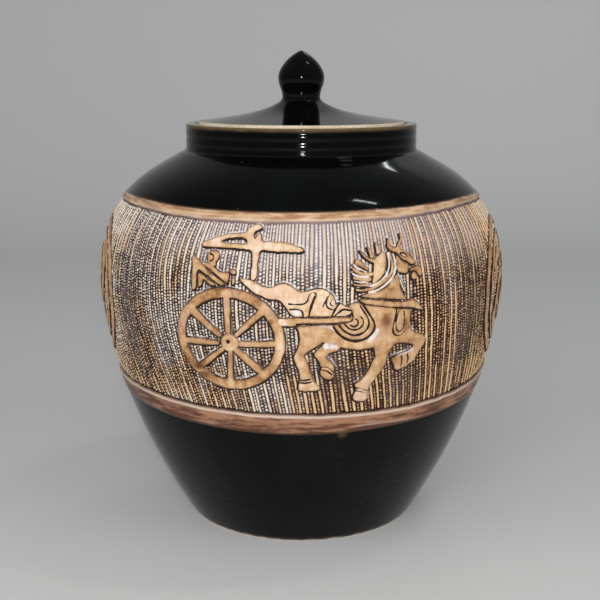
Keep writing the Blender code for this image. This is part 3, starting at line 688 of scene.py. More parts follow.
def roundelMotifs(shift, r):  # a plain ring round a whorl of clouds
    middle = (shift, r["height"])
    inner = oval(middle, *r["innerRing"])
    motifs = [
        Motif("patch", oval(middle, *r["outer"])),
        Motif("hole", oval(middle, *(reach - r["ringWidth"] for reach in r["outer"]))),
        Motif("spoke", inner + inner[:1], r["tone"], (r["innerWidth"] / 2,) * 2),
        Motif("boss", dab(middle), 0.3, (r["boss"],) * 2),
        Motif("dot", dab(middle), 0, (r["boss"] / 4,) * 2),
    ]
    for number in range(r["whorls"]):
        start = 360 / r["whorls"] * number
        turn = math.radians(start + r["curlTurn"])
        curl = (middle[0] + r["curlReach"] * math.cos(turn), middle[1] + r["curlReach"] * math.sin(turn))
        for part, centre in (("arm", middle), ("curl", curl), ("spur", middle)):
            angle, sweep, first, last, widths = r[part]
            spiral = whorl(centre, start + angle, sweep, first, last)
            motifs.append(Motif("spoke", spiral, r["tone"], widths))
    return motifs


def cloudMotifs(shift, mirror, c):  # a standing scroll of cloud
    motifs = []
    for height, start in c["scrolls"]:
        spiral = whorl((shift, height), start, c["scrollTurn"], c["reach"], 2.5, 26)
        spiral = [(shift + mirror * (x - shift), y) for x, y in spiral]
        motifs.append(Motif("stroke", spiral, c["tone"], (2.3, 1.1)))
    joined = [(shift + mirror * x, y) for x, y in c["link"]]
    motifs.append(Motif("stroke", joined, c["tone"], (2.0, 2.0)))
    for x, y, start in c["curls"]:
        curl = whorl((shift + mirror * x, y), start, c["curlTurn"], 7, 1.2, 16)
        motifs.append(Motif("stroke", curl, 0.1, (1.5, 0.7)))
    return motifs


# Heights of the four edges of the borders, every 30 degrees round the jar from the front towards +X
edges = {
    "upperTop": [233.6, 234.6, 235.9, 235.2, 234.6, 234.2, 234.0, 234.2, 234.8, 235.2, 235.6, 233.9],
    "upperLow": [228.9, 230.2, 232.6, 231.6, 230.4, 230.0, 229.6, 230.0, 230.8, 231.6, 231.6, 229.1],
    "lowerTop": [106.0, 106.5, 109.6, 115.0, 113.0, 110.0, 108.5, 108.0, 109.0, 110.5, 109.6, 107.2],
    "lowerLow": [93.2, 95.4, 98.2, 101.5, 100.0, 97.5, 96.0, 95.5, 96.5, 97.6, 97.6, 94.8],
}
ground = {  # the cut ground: lists run round the jar as those above
    # from one row to the next
    "pitch": [2.45, 2.35, 2.25, 2.10, 2.20, 2.35, 2.45, 2.35, 2.25, 2.20, 2.25, 2.35],
    # chance of two tooled rows between ridges
    "pairs": [0.15, 0.25, 0.35, 0.40, 0.30, 0.20, 0.15, 0.25, 0.35, 0.30, 0.12, 0.12],
    # how far the rows lean low down, and high up
    "lean": [0.5, 0.85, 0.9, 0.8, 0.9, 0.8, 0.5, 0.85, 0.9, 0.8, 0.75, 0.85],
    "topLean": [0.15, 0.0, 0.0, 0.3, 0.4, 0.2, 0.15, 0.0, 0.0, 0.6, 1.0, 0.95],
    # how much tools cross it
    "tooled": [0.28, 0.30, 0.45, 0.60, 0.50, 0.40, 0.28, 0.30, 0.45, 0.60, 0.72, 0.60],
    # grey stain at 0, brown at 1, and how pale the high part is
    "warm": [0.34, 0.85, 0.85, 0.55, 0.45, 0.40, 0.34, 0.85, 0.85, 0.50, 0.36, 0.26],
    "haze": [0.9, 0.7, 0.4, 0.4, 0.5, 0.6, 0.9, 0.7, 0.4, 0.35, 0.2, 0.5],
    "leanBelow": 165,  # heights below and above which the rows lean
    "topLeanAbove": 205,
    "unevenPitch": (0.82, 1.18),
    "grooveDepth": 1.9,
    "smoothRise": 1.05,  # of a smooth ridge
    "punchRise": 0.72,  # of a tooled row
    "brickPitch": 1.95,  # between two strokes of the tool along a row
    "brickTable": 128,
    "seed": 21,
}
carving = {
    "low": 84.0,  # the carved tiles reach from here
    "high": 243.0,  # to here
    "cell": (0.40, 0.54),  # mesh spacing round and up
    "quickCell": (0.9, 1.2),
    "tiles": 8,
    "backCell": 4,  # a tile's buried back is this many times coarser
    "borderRise": 0.35,
    "figureDepth": 0.14,  # of the raised shapes' middle, under the wall's surface
    "figureFall": 0.24,  # how much lower their edges are
    "cutDepth": 0.8,
    "paleDepth": 0.5,
    "skirt": 3.0,  # how far a tile's edges reach into the wall
    "back": 3.4,  # and its buried back
    "seat": 2.9,  # how far the wall behind the tiles is set back
}
paintedShadeSpots = [  # painted shade, darker places of the ground in front and towards the far sides: middle, reach, strength
    ((30, 132), (30, 18), 0.7), ((80, 122), (30, 18), 0.65), ((62, 148), (12, 8), 0.6),
    ((-8, 145), (10, 20), 0.5), ((82, 180), (16, 26), 0.3), ((130, 165), (18, 60), 0.7),
    ((-132, 165), (20, 60), 0.7),
]
glazeRuns = [  # where glaze runs thin: a drip over the lower border, and streaks on the black below it
    ((30.0, 91.5), (4.5, 3.0), 0.55),
    ((30.0, 75.5), (3.2, 2.6), 0.45), ((29.6, 68.5), (3.6, 2.2), 0.5), ((29.0, 61.5), (2.6, 3.0), 0.35),
]
brightBorderLine = {  # a bright line along the lower border at the right of the front, added to the painted edge highlight
    "height": 97.6,
    "fadesIn": (33, 42),
    "fadesOut": (70, 92),
}
motifs = cartScene(0) + cartScene(girth / 2)
for side in roundel["places"]:
    motifs += roundelMotifs(side, roundel)
for side, facing in cloud["places"]:
    motifs += cloudMotifs(side, facing, cloud)


def wrapped(x, middle):  # x brought to within half a turn of a place
    return (x - middle + girth / 2) % girth - girth / 2 + middle


def spread(x, y, places):  # the strongest of several soft round patches
    field = np.zeros(x.shape)
    for (px, py), (rx, ry), strength in places:
        across, up = (wrapped(x, px) - px) / rx, (y - py) / ry
        field = np.maximum(field, strength * np.exp(-across ** 2 - up ** 2))
    return field


def shapeField(x, y):  # distance to the raised shapes, the cut lines and the pale cuts, and the tone
    flat = x.ravel(), y.ravel()
    fields = {name: np.full(x.size, 20.0) for name in ("raised", "hollow", "inlaid", "cut", "pale")}
    belongs = {
        "patch": "raised",
        "stroke": "raised",
        "rib": "raised",
        "hole": "hollow",  # cut out of the raised shapes
        "spoke": "inlaid",  # stands in the holes too
        "boss": "inlaid",
        "pale": "pale",
        "cut": "cut",
        "dot": "cut",
    }
    tone = np.zeros(x.size)
    wobble = 0.26 * softNoise(*flat, (5, 5), 11) + 0.18 * softNoise(*flat, (2.2, 2.2), 12)
    for motif in motifs:
        across = wrapped(flat[0], (motif.low[0] + motif.high[0]) / 2)
        chosen = np.nonzero(motif.near(across, flat[1]))[0]
        if not len(chosen):
            continue
        gap = motif.distance(across[chosen], flat[1][chosen]) + wobble[chosen]
        field = fields[belongs[motif.kind]]
        if motif.kind == "rib":
            fields["pale"][chosen] = np.minimum(fields["pale"][chosen], gap - 0.2)
        if motif.kind in ("patch", "stroke", "rib", "spoke", "boss"):
            tone[chosen] = np.where((gap < field[chosen]) & (gap < 1.2), motif.tone, tone[chosen])
        field[chosen] = np.minimum(field[chosen], gap)
    shape = np.minimum(np.maximum(fields["raised"], -fields["hollow"]), fields["inlaid"])
    return [values.reshape(x.shape) for values in (shape, fields["cut"], fields["pale"], tone)]


def rowPlan(g):  # where the rows of the ground start round the jar, and which of them are ridges left smooth
    dice = np.random.default_rng(g["seed"])
    start, between, starts, smooth = 0.0, 0, [], []
    while start < girth:
        here = np.array([start])
        starts.append(start)
        smooth.append(between == 0)
        between = 1 + (dice.uniform() < roundTable(g["pairs"], here)[0]) if between == 0 else between - 1
        start += roundTable(g["pitch"], here)[0] * dice.uniform(*g["unevenPitch"])
    return np.array(starts + [start]) * girth / start, np.array(smooth)


def softRamp(value, softness):  # 0 well below 0, twice the value well above it
    return value + np.sqrt(value ** 2 + softness)


def groundField(x, y, shape, g):  # smooth ridges and tooled rows, side by side, with a dark line between
    lean = 0.13 * softRamp(g["leanBelow"] - y, 400) * roundTable(g["lean"], x)
    lean = lean + 0.1 * softRamp(y - g["topLeanAbove"], 150) * roundTable(g["topLean"], x)
    sway = 1.9 * softNoise(x, y, (46, 80), 3) + 0.55 * softNoise(x, y, (12, 34), 4)
    sway = sway + 0.2 * softNoise(x, y, (4, 8), 5)
    starts, smooth = rowPlan(g)
    place = (x - lean + sway) % girth
    number = np.clip(np.searchsorted(starts, place, side="right") - 1, 0, len(smooth) - 1)
    part = (place - starts[number]) / (starts[number + 1] - starts[number])
    profile = 0.5 - 0.5 * np.cos(part * math.tau)
    dice = np.random.default_rng(g["seed"] + 1)
    lift = dice.uniform(0.82, 1.12, len(smooth))[number]
    offset = dice.uniform(0, 1, len(smooth))[number]
    slowness = dice.uniform(0.9, 1.14, len(smooth))[number]
    tint = dice.uniform(-0.25, 0.25, len(smooth))[number]
    brickHeights = dice.uniform(0, 1, (len(smooth), g["brickTable"]))

    tooled = roundTable(g["tooled"], x) + 0.5 * smoothStep(214, 184, y) - 0.3 * smoothStep(136, 116, y)
    tooled = tooled + 0.18 * softNoise(x, y, (22, 18), 6) + 0.20 * softNoise(x, y, (4, 24), 26)
    tooled = np.clip(tooled, 0, 1)
    brick = y / (g["brickPitch"] * slowness) + offset + 0.22 * softNoise(x, y, (2, 4), 7)
    uneven = brickHeights[number, np.floor(brick + 0.5).astype(int) % g["brickTable"]]
    chatter = softNoise(x, y, (0.95, 1.1), 8)
    gap = 0.5 + 0.5 * np.cos((brick + 0.5) * math.tau) + 0.12 * chatter
    gaps = smoothStep(0.52, 0.92, gap)
    notched = smoothStep(0.50, 0.95, tooled + 0.25 * softNoise(x, y, (3.5, 16), 30))
    strip = profile ** 0.6 * (lift - 0.35 * notched * uneven) * (1 - 0.75 * notched * gaps) + 0.06 * chatter
    strip = np.where(smooth[number], strip, 0)
    across = np.clip(0.1 + 1.1 * tooled, 0, 0.95)
    floor = 0.62 + 0.22 * lift + across * (0.7 * uneven - 0.32)
    punched = np.where(smooth[number], 0, profile ** 0.75 * floor * (1 - across * gaps))
    moat = smoothStep(0.1, 1.0, shape + 0.3 * softNoise(x, y, (3, 3), 9))
    return np.clip(strip * moat, 0, 1), np.clip(punched * moat, 0, 1), tint


def carve(x, y, c, g):  # depth and colour masks of the band, for places on the unrolled wall
    shape, cut, pale, tone = shapeField(x, y)
    strip, punched, tint = groundField(x, y, shape, g)

    level = {name: roundTable(values, x) for name, values in edges.items()}
    wave = 0.22 * softNoise(x, y * 0, (9, 9), 14) + 0.1 * softNoise(x, y * 0, (3, 3), 15)
    underUpper = level["upperLow"] + wave - y
    overLower = y - level["lowerTop"] - wave
    inBand = smoothStep(-0.45, 0.45, underUpper) * smoothStep(-0.45, 0.45, overLower)
    upper = smoothStep(-0.3, 0.3, level["upperTop"] - y + wave * 0.6) * smoothStep(-0.4, 0.4, -underUpper)
    lower = smoothStep(-0.6, 0.9, y - level["lowerLow"]) * smoothStep(-0.4, 0.4, -overLower)
    frayed = overLower + 0.5 * softNoise(x, y, (2.4, 2.4), 27)  # the rows end short of the borders
    ledge = smoothStep(0.3, 1.5, underUpper) * smoothStep(0.5, 2.0, frayed)
    # painted shade: darker ground in these places, where the ridges and rows are also lower
    paintedShadeField = np.clip(spread(x, y, paintedShadeSpots) + 0.12 * softNoise(x, y, (20, 20), 29), 0, 1)
    strip, punched = strip * ledge * (1 - 0.45 * paintedShadeField), punched * ledge * (1 - 0.35 * paintedShadeField)

    top = 1 - smoothStep(-0.1, 0.85, shape)
    crown = smoothStep(-1.6, 0.1, shape) ** 2
    groundDepth = g["grooveDepth"] - np.maximum(g["smoothRise"] * strip, g["punchRise"] * punched)
    groundDepth = groundDepth + 0.12 * softNoise(x, y, (9, 9), 17)
    cutMask = (1 - smoothStep(-0.25, 0.4, cut)) * (1 - smoothStep(-0.2, 0.4, shape))
    paleMask = (1 - smoothStep(-0.5, 0.35, pale)) * top
    figureDepth = c["figureDepth"] + c["figureFall"] * crown + 0.07 * softNoise(x, y, (7, 5), 16)
    figureDepth = figureDepth + c["cutDepth"] * cutMask + c["paleDepth"] * paleMask
    depth = (figureDepth * top + groundDepth * (1 - top)) * inBand
    depth = depth - c["borderRise"] * np.maximum(upper, lower) + 0.25 * peak(level["lowerLow"] - 1.7, 0.6, y)

    upwards = np.gradient(shape, axis=1) / np.maximum(np.gradient(y, axis=1), 1e-6)
    sideways = np.gradient(shape, axis=0) / np.maximum(np.gradient(x, axis=0), 1e-6)
    facing = np.clip(0.9 * upwards + 0.44 * sideways, -1, 1)  # which way an edge looks, 1 for up and right
    patchy = softNoise(x, y, (7, 7), 28) + 0.5 * softNoise(x, y, (2.4, 2.4), 31)
    # painted highlight: a pale line beside the cut edges that face up and right, towards the light
    litEdgeHighlight = peak(1.15, 0.9, shape) * smoothStep(0.1, 0.8, facing) * smoothStep(-0.45, 0.5, patchy)
    # dark outlines round the figures, with painted shade making them heavier on edges that face down and
    # left, and a painted shadow beside those edges
    outline = 0.66 + 0.34 * smoothStep(0.4, -0.3, facing) + 0.12 * patchy
    outline = peak(0.3, 0.68 + 0.18 * patchy, shape) * outline
    shadow = peak(0.8, 0.9, shape) * smoothStep(0.2, -0.6, facing)
    scorch = spread(x, y, scorches)
    warm = roundTable(g["warm"], x) + 0.3 * smoothStep(190, 120, y) - 0.18 * smoothStep(200, 225, y)
    warm = warm + 0.25 * softNoise(x, y, (30, 24), 18) + 0.22 * softNoise(x, y, (5, 14), 19) + tint
    haze = roundTable(g["haze"], x) * smoothStep(186, 218, y) + 0.2 * softNoise(x, y, (9, 30), 34)
    # painted highlight: a pale line along the lower border's top edge and, weaker, the upper border's lower
    # edge
    lip = peak(-0.9, 1.1, overLower) + 0.5 * peak(-0.5, 0.7, underUpper)
    brightStretch = 0.6 * peak(brightBorderLine["height"], 0.7, y - 0.3 * wave) * smoothStep(*brightBorderLine["fadesIn"], x)
    lip = lip + brightStretch * smoothStep(*brightBorderLine["fadesOut"][::-1], x)
    drip = spread(x, y, glazeRuns[:1]) * (0.8 + 0.4 * patchy)
    thin = 0.75 * peak(level["lowerLow"] - 0.2, 1.5, y) + 0.5 * peak(level["upperTop"] + 0.4, 0.9, y) + drip
    tone = tone + spread(x, y, tints) - 0.4 * smoothStep(-1.5, -0.2, shape) - scorch
    upLower = (y - level["lowerLow"]) / (level["lowerTop"] - level["lowerLow"])
    masks = {  # the attributes that carvingPaint reads
        "figure": top * inBand,
        "strip": strip,
        "punched": punched,
        # cut lines, the dark outlines with their painted shade, and the painted shadow
        "line": np.clip(np.maximum.reduce([cutMask, outline, shadow]), 0, 1) * inBand,
        # pale clay of the slanted cuts, and the painted highlight on lit cut edges
        "pale": np.clip(np.maximum(litEdgeHighlight * (1 - top), paleMask), 0, 1) * inBand,
        "tone": np.clip(np.where(lower > 0.5, 1.6 * upLower - 0.8, tone), -1, 1),
        "scorch": scorch,
        # painted shade of the ground
        "paintedShadeField": paintedShadeField,
        "haze": np.clip(haze, 0, 1),
        "warm": np.clip(warm, 0, 1),
        "upper": upper,
        "lower": lower,
        # painted highlight along the borders' edges
        "lip": np.clip(lip, 0, 1),
        "glazed": 1 - np.clip(inBand + upper + lower, 0, 1),
        "thin": np.clip(thin, 0, 0.8),
    }
    return depth, masks


band = {
    "brown": (0.26, 0.115, 0.040),
    "gold": (0.575, 0.335, 0.165),
    "amber": (0.76, 0.51, 0.29),
    "pale": (0.87, 0.690, 0.55),
    "rosy": (0.70, 0.44, 0.30),
    # pale clay of the cuts, also the colour of the painted highlight on lit cut edges
    "paleClayAndHighlight": (0.80, 0.77, 0.78),
    # dark of the cut lines and outlines, also used for the painted shadow beside the figures
    "line": (0.026, 0.017, 0.016),
    "scorch": (0.15, 0.055, 0.022),
    "grooveCool": (0.034, 0.022, 0.023),
    "grooveWarm": (0.026, 0.011, 0.009),
    "floorCool": (0.42, 0.365, 0.350),
    "floorWarm": (0.15, 0.076, 0.050),
    "grooveHazy": (0.26, 0.205, 0.215),
    "floorHazy": (0.58, 0.500, 0.505),
    "ridgeHazy": (0.62, 0.515, 0.415),
    "brickCool": (0.84, 0.745, 0.69),
    "brickWarm": (0.68, 0.400, 0.215),
    "ridgeCool": (0.87, 0.760, 0.60),
    "ridgeWarm": (0.82, 0.535, 0.270),
    # painted shade: the colour the ground darkens towards in its shaded places
    "paintedShadeColour": (0.150, 0.110, 0.085),
    "upperBorder": (0.42, 0.225, 0.120),
    "upperGold": (0.72, 0.49, 0.31),
    "lowerBorder": (0.135, 0.055, 0.036),
    "lowerGold": (0.44, 0.225, 0.130),
    # colour of the painted highlight along the borders' edges
    "lip": (0.82, 0.70, 0.57),
    "stains": (("gold", -0.9, 0.1), ("amber", -0.05, 0.6), ("pale", 0.45, 1.15)),  # over brown, by tone
    "paintedShadeShare": 0.45,  # how much of the ground's colour the painted shade takes away
    "roughness": 0.34,
}


def carvingPaint(b, g):  # stained figures and ground with painted shade and highlights, brushed borders, and the glaze above and below them
    paint = Paint("carved_band", {"Metallic": 0.0, "IOR": 1.5, "Specular IOR Level": g["reflection"]})
    cloudy = paint.noise(26, 4)
    drag = paint.noise(70, 4, stretch=(1, 1, 3.2))
    brushed = (paint.noise(55, 5, stretch=(1, 1, 7)) - 0.5) * 2.4 + (cloudy - 0.5) * 0.8
    mottle = paint.noise(250, 4, stretch=(1, 1, 0.6))
    grain = paint.noise(620, 3)
    uneven = (cloudy - 0.5) * 1.4 + (drag - 0.5) * 1.3 + (mottle - 0.5) * 2.2 + (grain - 0.5) * 0.8
    tone = paint.attribute("tone") + uneven
    figure = b["brown"]
    for stain, none, full in b["stains"]:
        figure = paint.mix(paint.spread(tone, none, full), figure, b[stain])
    blotch = paint.noise(58, 3, stretch=(1, 1, 0.7))
    figure = paint.mix(paint.spread(blotch, 0.50, 0.66) * 0.55, figure, b["rosy"])
    figure = paint.mix(paint.spread(blotch, 0.46, 0.32) * 0.30, figure, b["gold"])
    scorched = paint.attribute("scorch") + (grain - 0.5) * 0.5 + (mottle - 0.5) * 0.8
    figure = paint.mix(paint.spread(scorched, 0.25, 1.0), figure, b["scorch"])
    paintedShadeField = paint.attribute("paintedShadeField")
    warm = paint.spread(paint.attribute("warm") + (cloudy - 0.5) * 0.5, 0.2, 0.85)
    speckle = (grain - 0.5) * 0.5 + (mottle - 0.5) * 0.35
    punched = paint.attribute("punched") + speckle
    haze = paint.attribute("haze")
    groove = paint.mix(haze, paint.mix(warm, b["grooveCool"], b["grooveWarm"]), b["grooveHazy"])
    floor = paint.mix(haze, paint.mix(warm, b["floorCool"], b["floorWarm"]), b["floorHazy"])
    brick = paint.mix(warm, b["brickCool"], b["brickWarm"])
    ridge = paint.mix(haze * 0.8, paint.mix(warm, b["ridgeCool"], b["ridgeWarm"]), b["ridgeHazy"])
    colour = paint.mix(paint.spread(punched, 0.20, 0.40), groove, floor)
    colour = paint.mix(paint.spread(punched, 0.48, 0.72), colour, brick)
    colour = paint.mix(paint.spread(paint.attribute("strip") + speckle, 0.30, 0.50), colour, ridge)
    # painted shade over the ground
    colour = paint.mix(paint.spread(paintedShadeField, 0.3, 1.0) * b["paintedShadeShare"], colour, b["paintedShadeColour"])
    colour = paint.mix(paint.attribute("figure"), colour, figure)
    # pale clay where the cuts show it, and the painted highlight along the lit cut edges
    clayAndHighlightShare = paint.attribute("pale") * (0.5 + 2.4 * (mottle - 0.42))
    colour = paint.mix(clayAndHighlightShare.clamped(), colour, b["paleClayAndHighlight"])
    # cut lines and outlines, darkened more by painted shade and shadow on the figures' lower and left edges
    line = paint.attribute("line") + (grain - 0.5) * 0.4
    colour = paint.mix(paint.spread(line, 0.25, 0.65), colour, b["line"])
    brushed = brushed + speckle * 0.6
    upper = paint.mix(paint.spread(0.5 + brushed, 0.25, 0.80), b["upperBorder"], b["upperGold"])
    lower = paint.spread(0.5 + brushed + paint.attribute("tone") * 0.25, 0.22, 0.85)
    lower = paint.mix(lower, b["lowerBorder"], b["lowerGold"])
    colour = paint.mix(paint.attribute("upper"), colour, upper)
    colour = paint.mix(paint.attribute("lower"), colour, lower)
    # painted highlight along the borders' edges
    colour = paint.mix(paint.attribute("lip") * 0.85, colour, b["lip"])
    black, glazeCloud = glazeColour(paint, g)
    glazed = paint.attribute("glazed")
    colour = paint.mix(glazed, colour, black)
    rough = b["roughness"] + 0.25 * (grain - 0.5) + 0.1 * (cloudy - 0.5)
    rough = rough * (1 - glazed) + (g["gloss"] + 0.05 * glazeCloud) * glazed
    tooth = paint.bump(grain * (1 - glazed), 0.3, 0.0005)
    strokes = paint.bump(mottle * (1 - glazed), 0.15, 0.0006, tooth)
    return paint.finish(colour, rough, strokes)


def carvedTile(name, number, c, material):  # one sector of the band: a carved face on a closed, plain back
    cell = c["cell"]
    coarse = c["backCell"]
    lowAlong, highAlong = (np.interp(c[key] * mm, outside[:, 1], alongWall) for key in ("low", "high"))
    arcLength = girth / c["tiles"]
    columns = coarse * int(round(arcLength / cell[0] / coarse))
    rows = coarse * int(round((highAlong - lowAlong) / mm / cell[1] / coarse))
    shape = bmesh.new()  # flat and 2 by 2 at first, with its skirt at -1 and its back at -2
    bmesh.ops.create_grid(shape, x_segments=columns, y_segments=rows, size=1)
    rim = [edge for edge in shape.edges if edge.is_boundary]
    for edge in rim:
        edge.smooth = False
    skirt = bmesh.ops.extrude_edge_only(shape, edges=rim)["geom"]
    for vert in [item for item in skirt if isinstance(item, bmesh.types.BMVert)]:
        vert.co.z = -1
    buried = Matrix.Translation((0, 0, -2))
    coarseGrid = {"x_segments": columns // coarse, "y_segments": rows // coarse}
    bmesh.ops.create_grid(shape, size=1, matrix=buried, **coarseGrid)
    bmesh.ops.bridge_loops(shape, edges=[edge for edge in shape.edges if edge.is_boundary])
    bmesh.ops.recalc_face_normals(shape, faces=shape.faces[:])
    mesh = bpy.data.meshes.new(name)
    shape.to_mesh(mesh)
    shape.free()
    mesh.shade_smooth()
    spots = places(mesh)
    column = np.rint((spots[:, 0] + 1) / 2 * columns).astype(int)
    row = np.rint((spots[:, 1] + 1) / 2 * rows).astype(int)
    x = (np.arange(columns + 1) / columns + number - 0.5) * arcLength
    along = lowAlong + (highAlong - lowAlong) * np.arange(rows + 1) / rows
    heights = np.interp(along, alongWall, outside[:, 1])
    across, up = np.meshgrid(x, heights / mm, indexing="ij")
    depth, masks = carve(across, up, c, ground)
    levels = [spots[:, 2] < -1.5, spots[:, 2] < -0.5]
    sunk = np.select(levels, [c["back"], c["skirt"]], depth[column, row]) * mm
    height = heights[row]
    outRadius, outHeight = wallOutward(height)
    radius = wallRadius(height) - sunk * outRadius
    angle = x[column] / girth * math.tau
    spots = [radius * np.sin(angle), -radius * np.cos(angle), height - sunk * outHeight]
    setPlaces(mesh, np.stack(spots, 1))
    for key, values in masks.items():
        setAttribute(mesh, key, values[column, row])
    mesh.materials.append(material)
    piece = link(name, mesh)
    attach(piece, "jar")
    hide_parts("jar_body")


bandMaterial = carvingPaint(band, glaze)
for tileNumber in range(carving["tiles"]):
    carvedTile(f"carved_band_{tileNumber + 1}", tileNumber, carving, bandMaterial)
print("carved band made")

ripple = {
    "neckPitch": 6.1 * mm,
    "neckDepth": 0.16 * mm,
    "neckFade": 2 * mm,
    "wallPitch": 6.5 * mm,
    "wallDepth": 0.02 * mm,
    "wallFade": (2 * mm, 10 * mm),  # from the carved tiles' edges: where the rings begin, and are full
    "lineHeight": 32.5 * mm,  # a turning line above the foot
    "lineDepth": 0.15 * mm,
    "lineReach": 0.9 * mm,
    "seatGap": 1.8 * mm,  # from the lid to where the rim drops to the lid's seat
    "stepOut": 1.3 * mm,
    "stepIn": 1.1 * mm,
    "steps": 256,
}


def jarOutline(w, c, r):  # the wall's section, set back behind the carved tiles
    low, high = c["low"] * mm, c["high"] * mm
    recessEdge = w["footRadius"] - w["footRingWidth"]
    below = np.linspace(w["footRound"], low, 70)
    above = np.linspace(high, w["neckFootHeight"], 34)

    def skin(heights):
        fade = smoothStep(*r["wallFade"], np.minimum(np.abs(heights - low), np.abs(heights - high)))
        radii = wallRadius(heights) + r["wallDepth"] * fade * np.sin(heights / r["wallPitch"] * math.tau)
        radii = radii - r["lineDepth"] * peak(r["lineHeight"], r["lineReach"], heights)
        return radii

    parts = [
        [(0, w["footRecess"]), (recessEdge - 2 * w["footRecess"], w["footRecess"]), (recessEdge, 0)],
        arc((w["footRadius"] - w["footRound"], w["footRound"]), w["footRound"], -90, -15, 5),
    ]
    belowSkin = skin(below[1:])
    belowSkin[-1] = wallRadius(low)
    parts.append(np.stack([belowSkin, below[1:]], 1))
    behind = np.linspace(low, high, 40)
    parts.append(np.stack([wallRadius(behind) - c["seat"] * mm, behind], 1))
    aboveSkin = skin(above[:-1])
    aboveSkin[0] = wallRadius(high)
    parts.append(np.stack([aboveSkin, above[:-1]], 1))
    fillet = w["neckFillet"]
    parts.append(arc((w["neckRadius"] + fillet, w["neckFootHeight"] + fillet), fillet, 240, 180, 6))
    rimCorner = w["rimTop"] - w["rimRound"]
    neckHeights = np.linspace(w["neckFootHeight"] + fillet, rimCorner, 34)[1:-1]
    fade = smoothStep(0, r["neckFade"], neckHeights - neckHeights[0])
    fade = fade * smoothStep(0, r["neckFade"], neckHeights[-1] - neckHeights)
    swell = r["neckDepth"] * (np.sin(neckHeights / r["neckPitch"] * math.tau) - 1) * fade
    parts.append(np.stack([w["neckRadius"] + swell, neckHeights], 1))
    parts.append(arc((w["neckRadius"] - w["rimRound"], rimCorner), w["rimRound"], 0, 90, 8))
    step = lidHigh.x + r["seatGap"]
    parts.append(bend(
        (step + r["stepOut"], w["rimTop"]),
        (step, w["rimTop"]),
        (step, w["seatHeight"]),
        (step - r["stepIn"], w["seatHeight"]),
        8,
    ))
    mouth = w["mouthRadius"]
    mouthRound = w["mouthRound"]
    parts.append(arc((mouth + mouthRound, w["seatHeight"] - mouthRound), mouthRound, 90, 180, 4))
    inner = outside[::12] - np.stack(wallOutward(outside[::12, 1]), 1) * w["thickness"]
    inner = inner[inner[:, 1] > w["baseThickness"] + w["floorRound"]][::-1]
    boreFoot = (mouth, w["seatHeight"] - w["boreDepth"])
    middle = (boreFoot[1] + inner[0][1]) / 2
    parts.append(bend(boreFoot, (mouth, middle), ((mouth + inner[0][0]) / 2, middle), inner[0], 8))
    parts.append(inner[1:-1])
    corner = (wallRadius(w["baseThickness"]) - w["thickness"], w["baseThickness"])
    parts.append(bend(inner[-1], corner, corner, (corner[0] - w["floorRound"], w["baseThickness"]), 8))
    parts.append([(0, w["baseThickness"])])
    return np.concatenate([np.array(part, float) for part in parts])


wear = {  # where the jar's glaze ends or thins, and how much of it is gone there
    "foot": 0.7,
    "footFade": (0.4 * mm, 1.2 * mm),  # heights over which the bare foot passes into glaze
    "footWaver": 0.4 * mm,
    "footLine": 0.6,
    "footLineHeight": 1.8 * mm,
    "footLineReach": 1.6 * mm,
    "seatFade": (0.35 * mm, 0.1 * mm),
    "rim": 0.95,
    "rimFade": (3.6 * mm, 0.5 * mm),  # below the rim's top
    "rimWaver": 0.3 * mm,
    "rimShares": (0.62, 0.38),  # all over the rim, and more at its outer edge
    "ring": 0.18,  # at the neck's foot
    "reach": 1.2 * mm,  # of the rim's outer edge and of the ring
    "inside": 0.45,
}


def glazeMasks(mesh, w, t):  # where the jar's glaze runs thin and where the clay is bare
    spots = places(mesh)
    radius, height = np.hypot(spots[:, 0], spots[:, 1]), spots[:, 2]
    around = np.arctan2(spots[:, 0], -spots[:, 1]) / math.tau * girth
    inner = radius < wallRadius(np.minimum(height, w["neckFootHeight"])) - w["thickness"] * 0.6
    inner &= height < w["seatHeight"] - 0.5 * mm
    inner &= height > w["baseThickness"] - 0.1 * mm
    glazeEnd = height + t["footWaver"] * softNoise(around, height / mm, (7, 5), 31)
    foot = t["foot"] - t["foot"] * smoothStep(*t["footFade"], glazeEnd)
    seat = smoothStep(*t["seatFade"], np.abs(w["seatHeight"] - height))
    seat = seat * (radius < lidHigh.x + 0.4 * mm)
    setAttribute(mesh, "bare", np.clip(np.maximum(foot, seat), 0, 1) * np.where(inner, 0, 1))
    waver = t["rimWaver"] * softNoise(around, height / mm, (12, 5), 32)
    rim = smoothStep(*(w["rimTop"] - drop for drop in t["rimFade"]), height + waver)
    allOver, atEdge = t["rimShares"]
    rim = rim * (allOver + atEdge * peak(w["neckRadius"] - 0.3 * mm, t["reach"], radius))
    ring = peak(w["neckFootHeight"] + t["reach"], t["reach"], height) * t["ring"]
    footLine = peak(t["footLineHeight"], t["footLineReach"], height) * t["footLine"]
    streaks = spread(around, height / mm, glazeRuns[1:])
    streaks = streaks * (0.6 + 0.6 * softNoise(around, height / mm, (3, 3), 33))
    thin = np.maximum.reduce([rim * t["rim"], ring, footLine, streaks, np.where(inner, t["inside"], 0)])
    setAttribute(mesh, "thin", np.clip(thin, 0, 1))


def jarWall():
    piece = turned("glazed_wall", jarOutline(wall, carving, ripple), ripple["steps"])
    glazeMasks(piece.data, wall, wear)
    piece.data.materials.append(glazePaint("jar_glaze", glaze))
    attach(piece, "jar")
    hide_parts("jar_body")


jarWall()
print("glazed wall made")

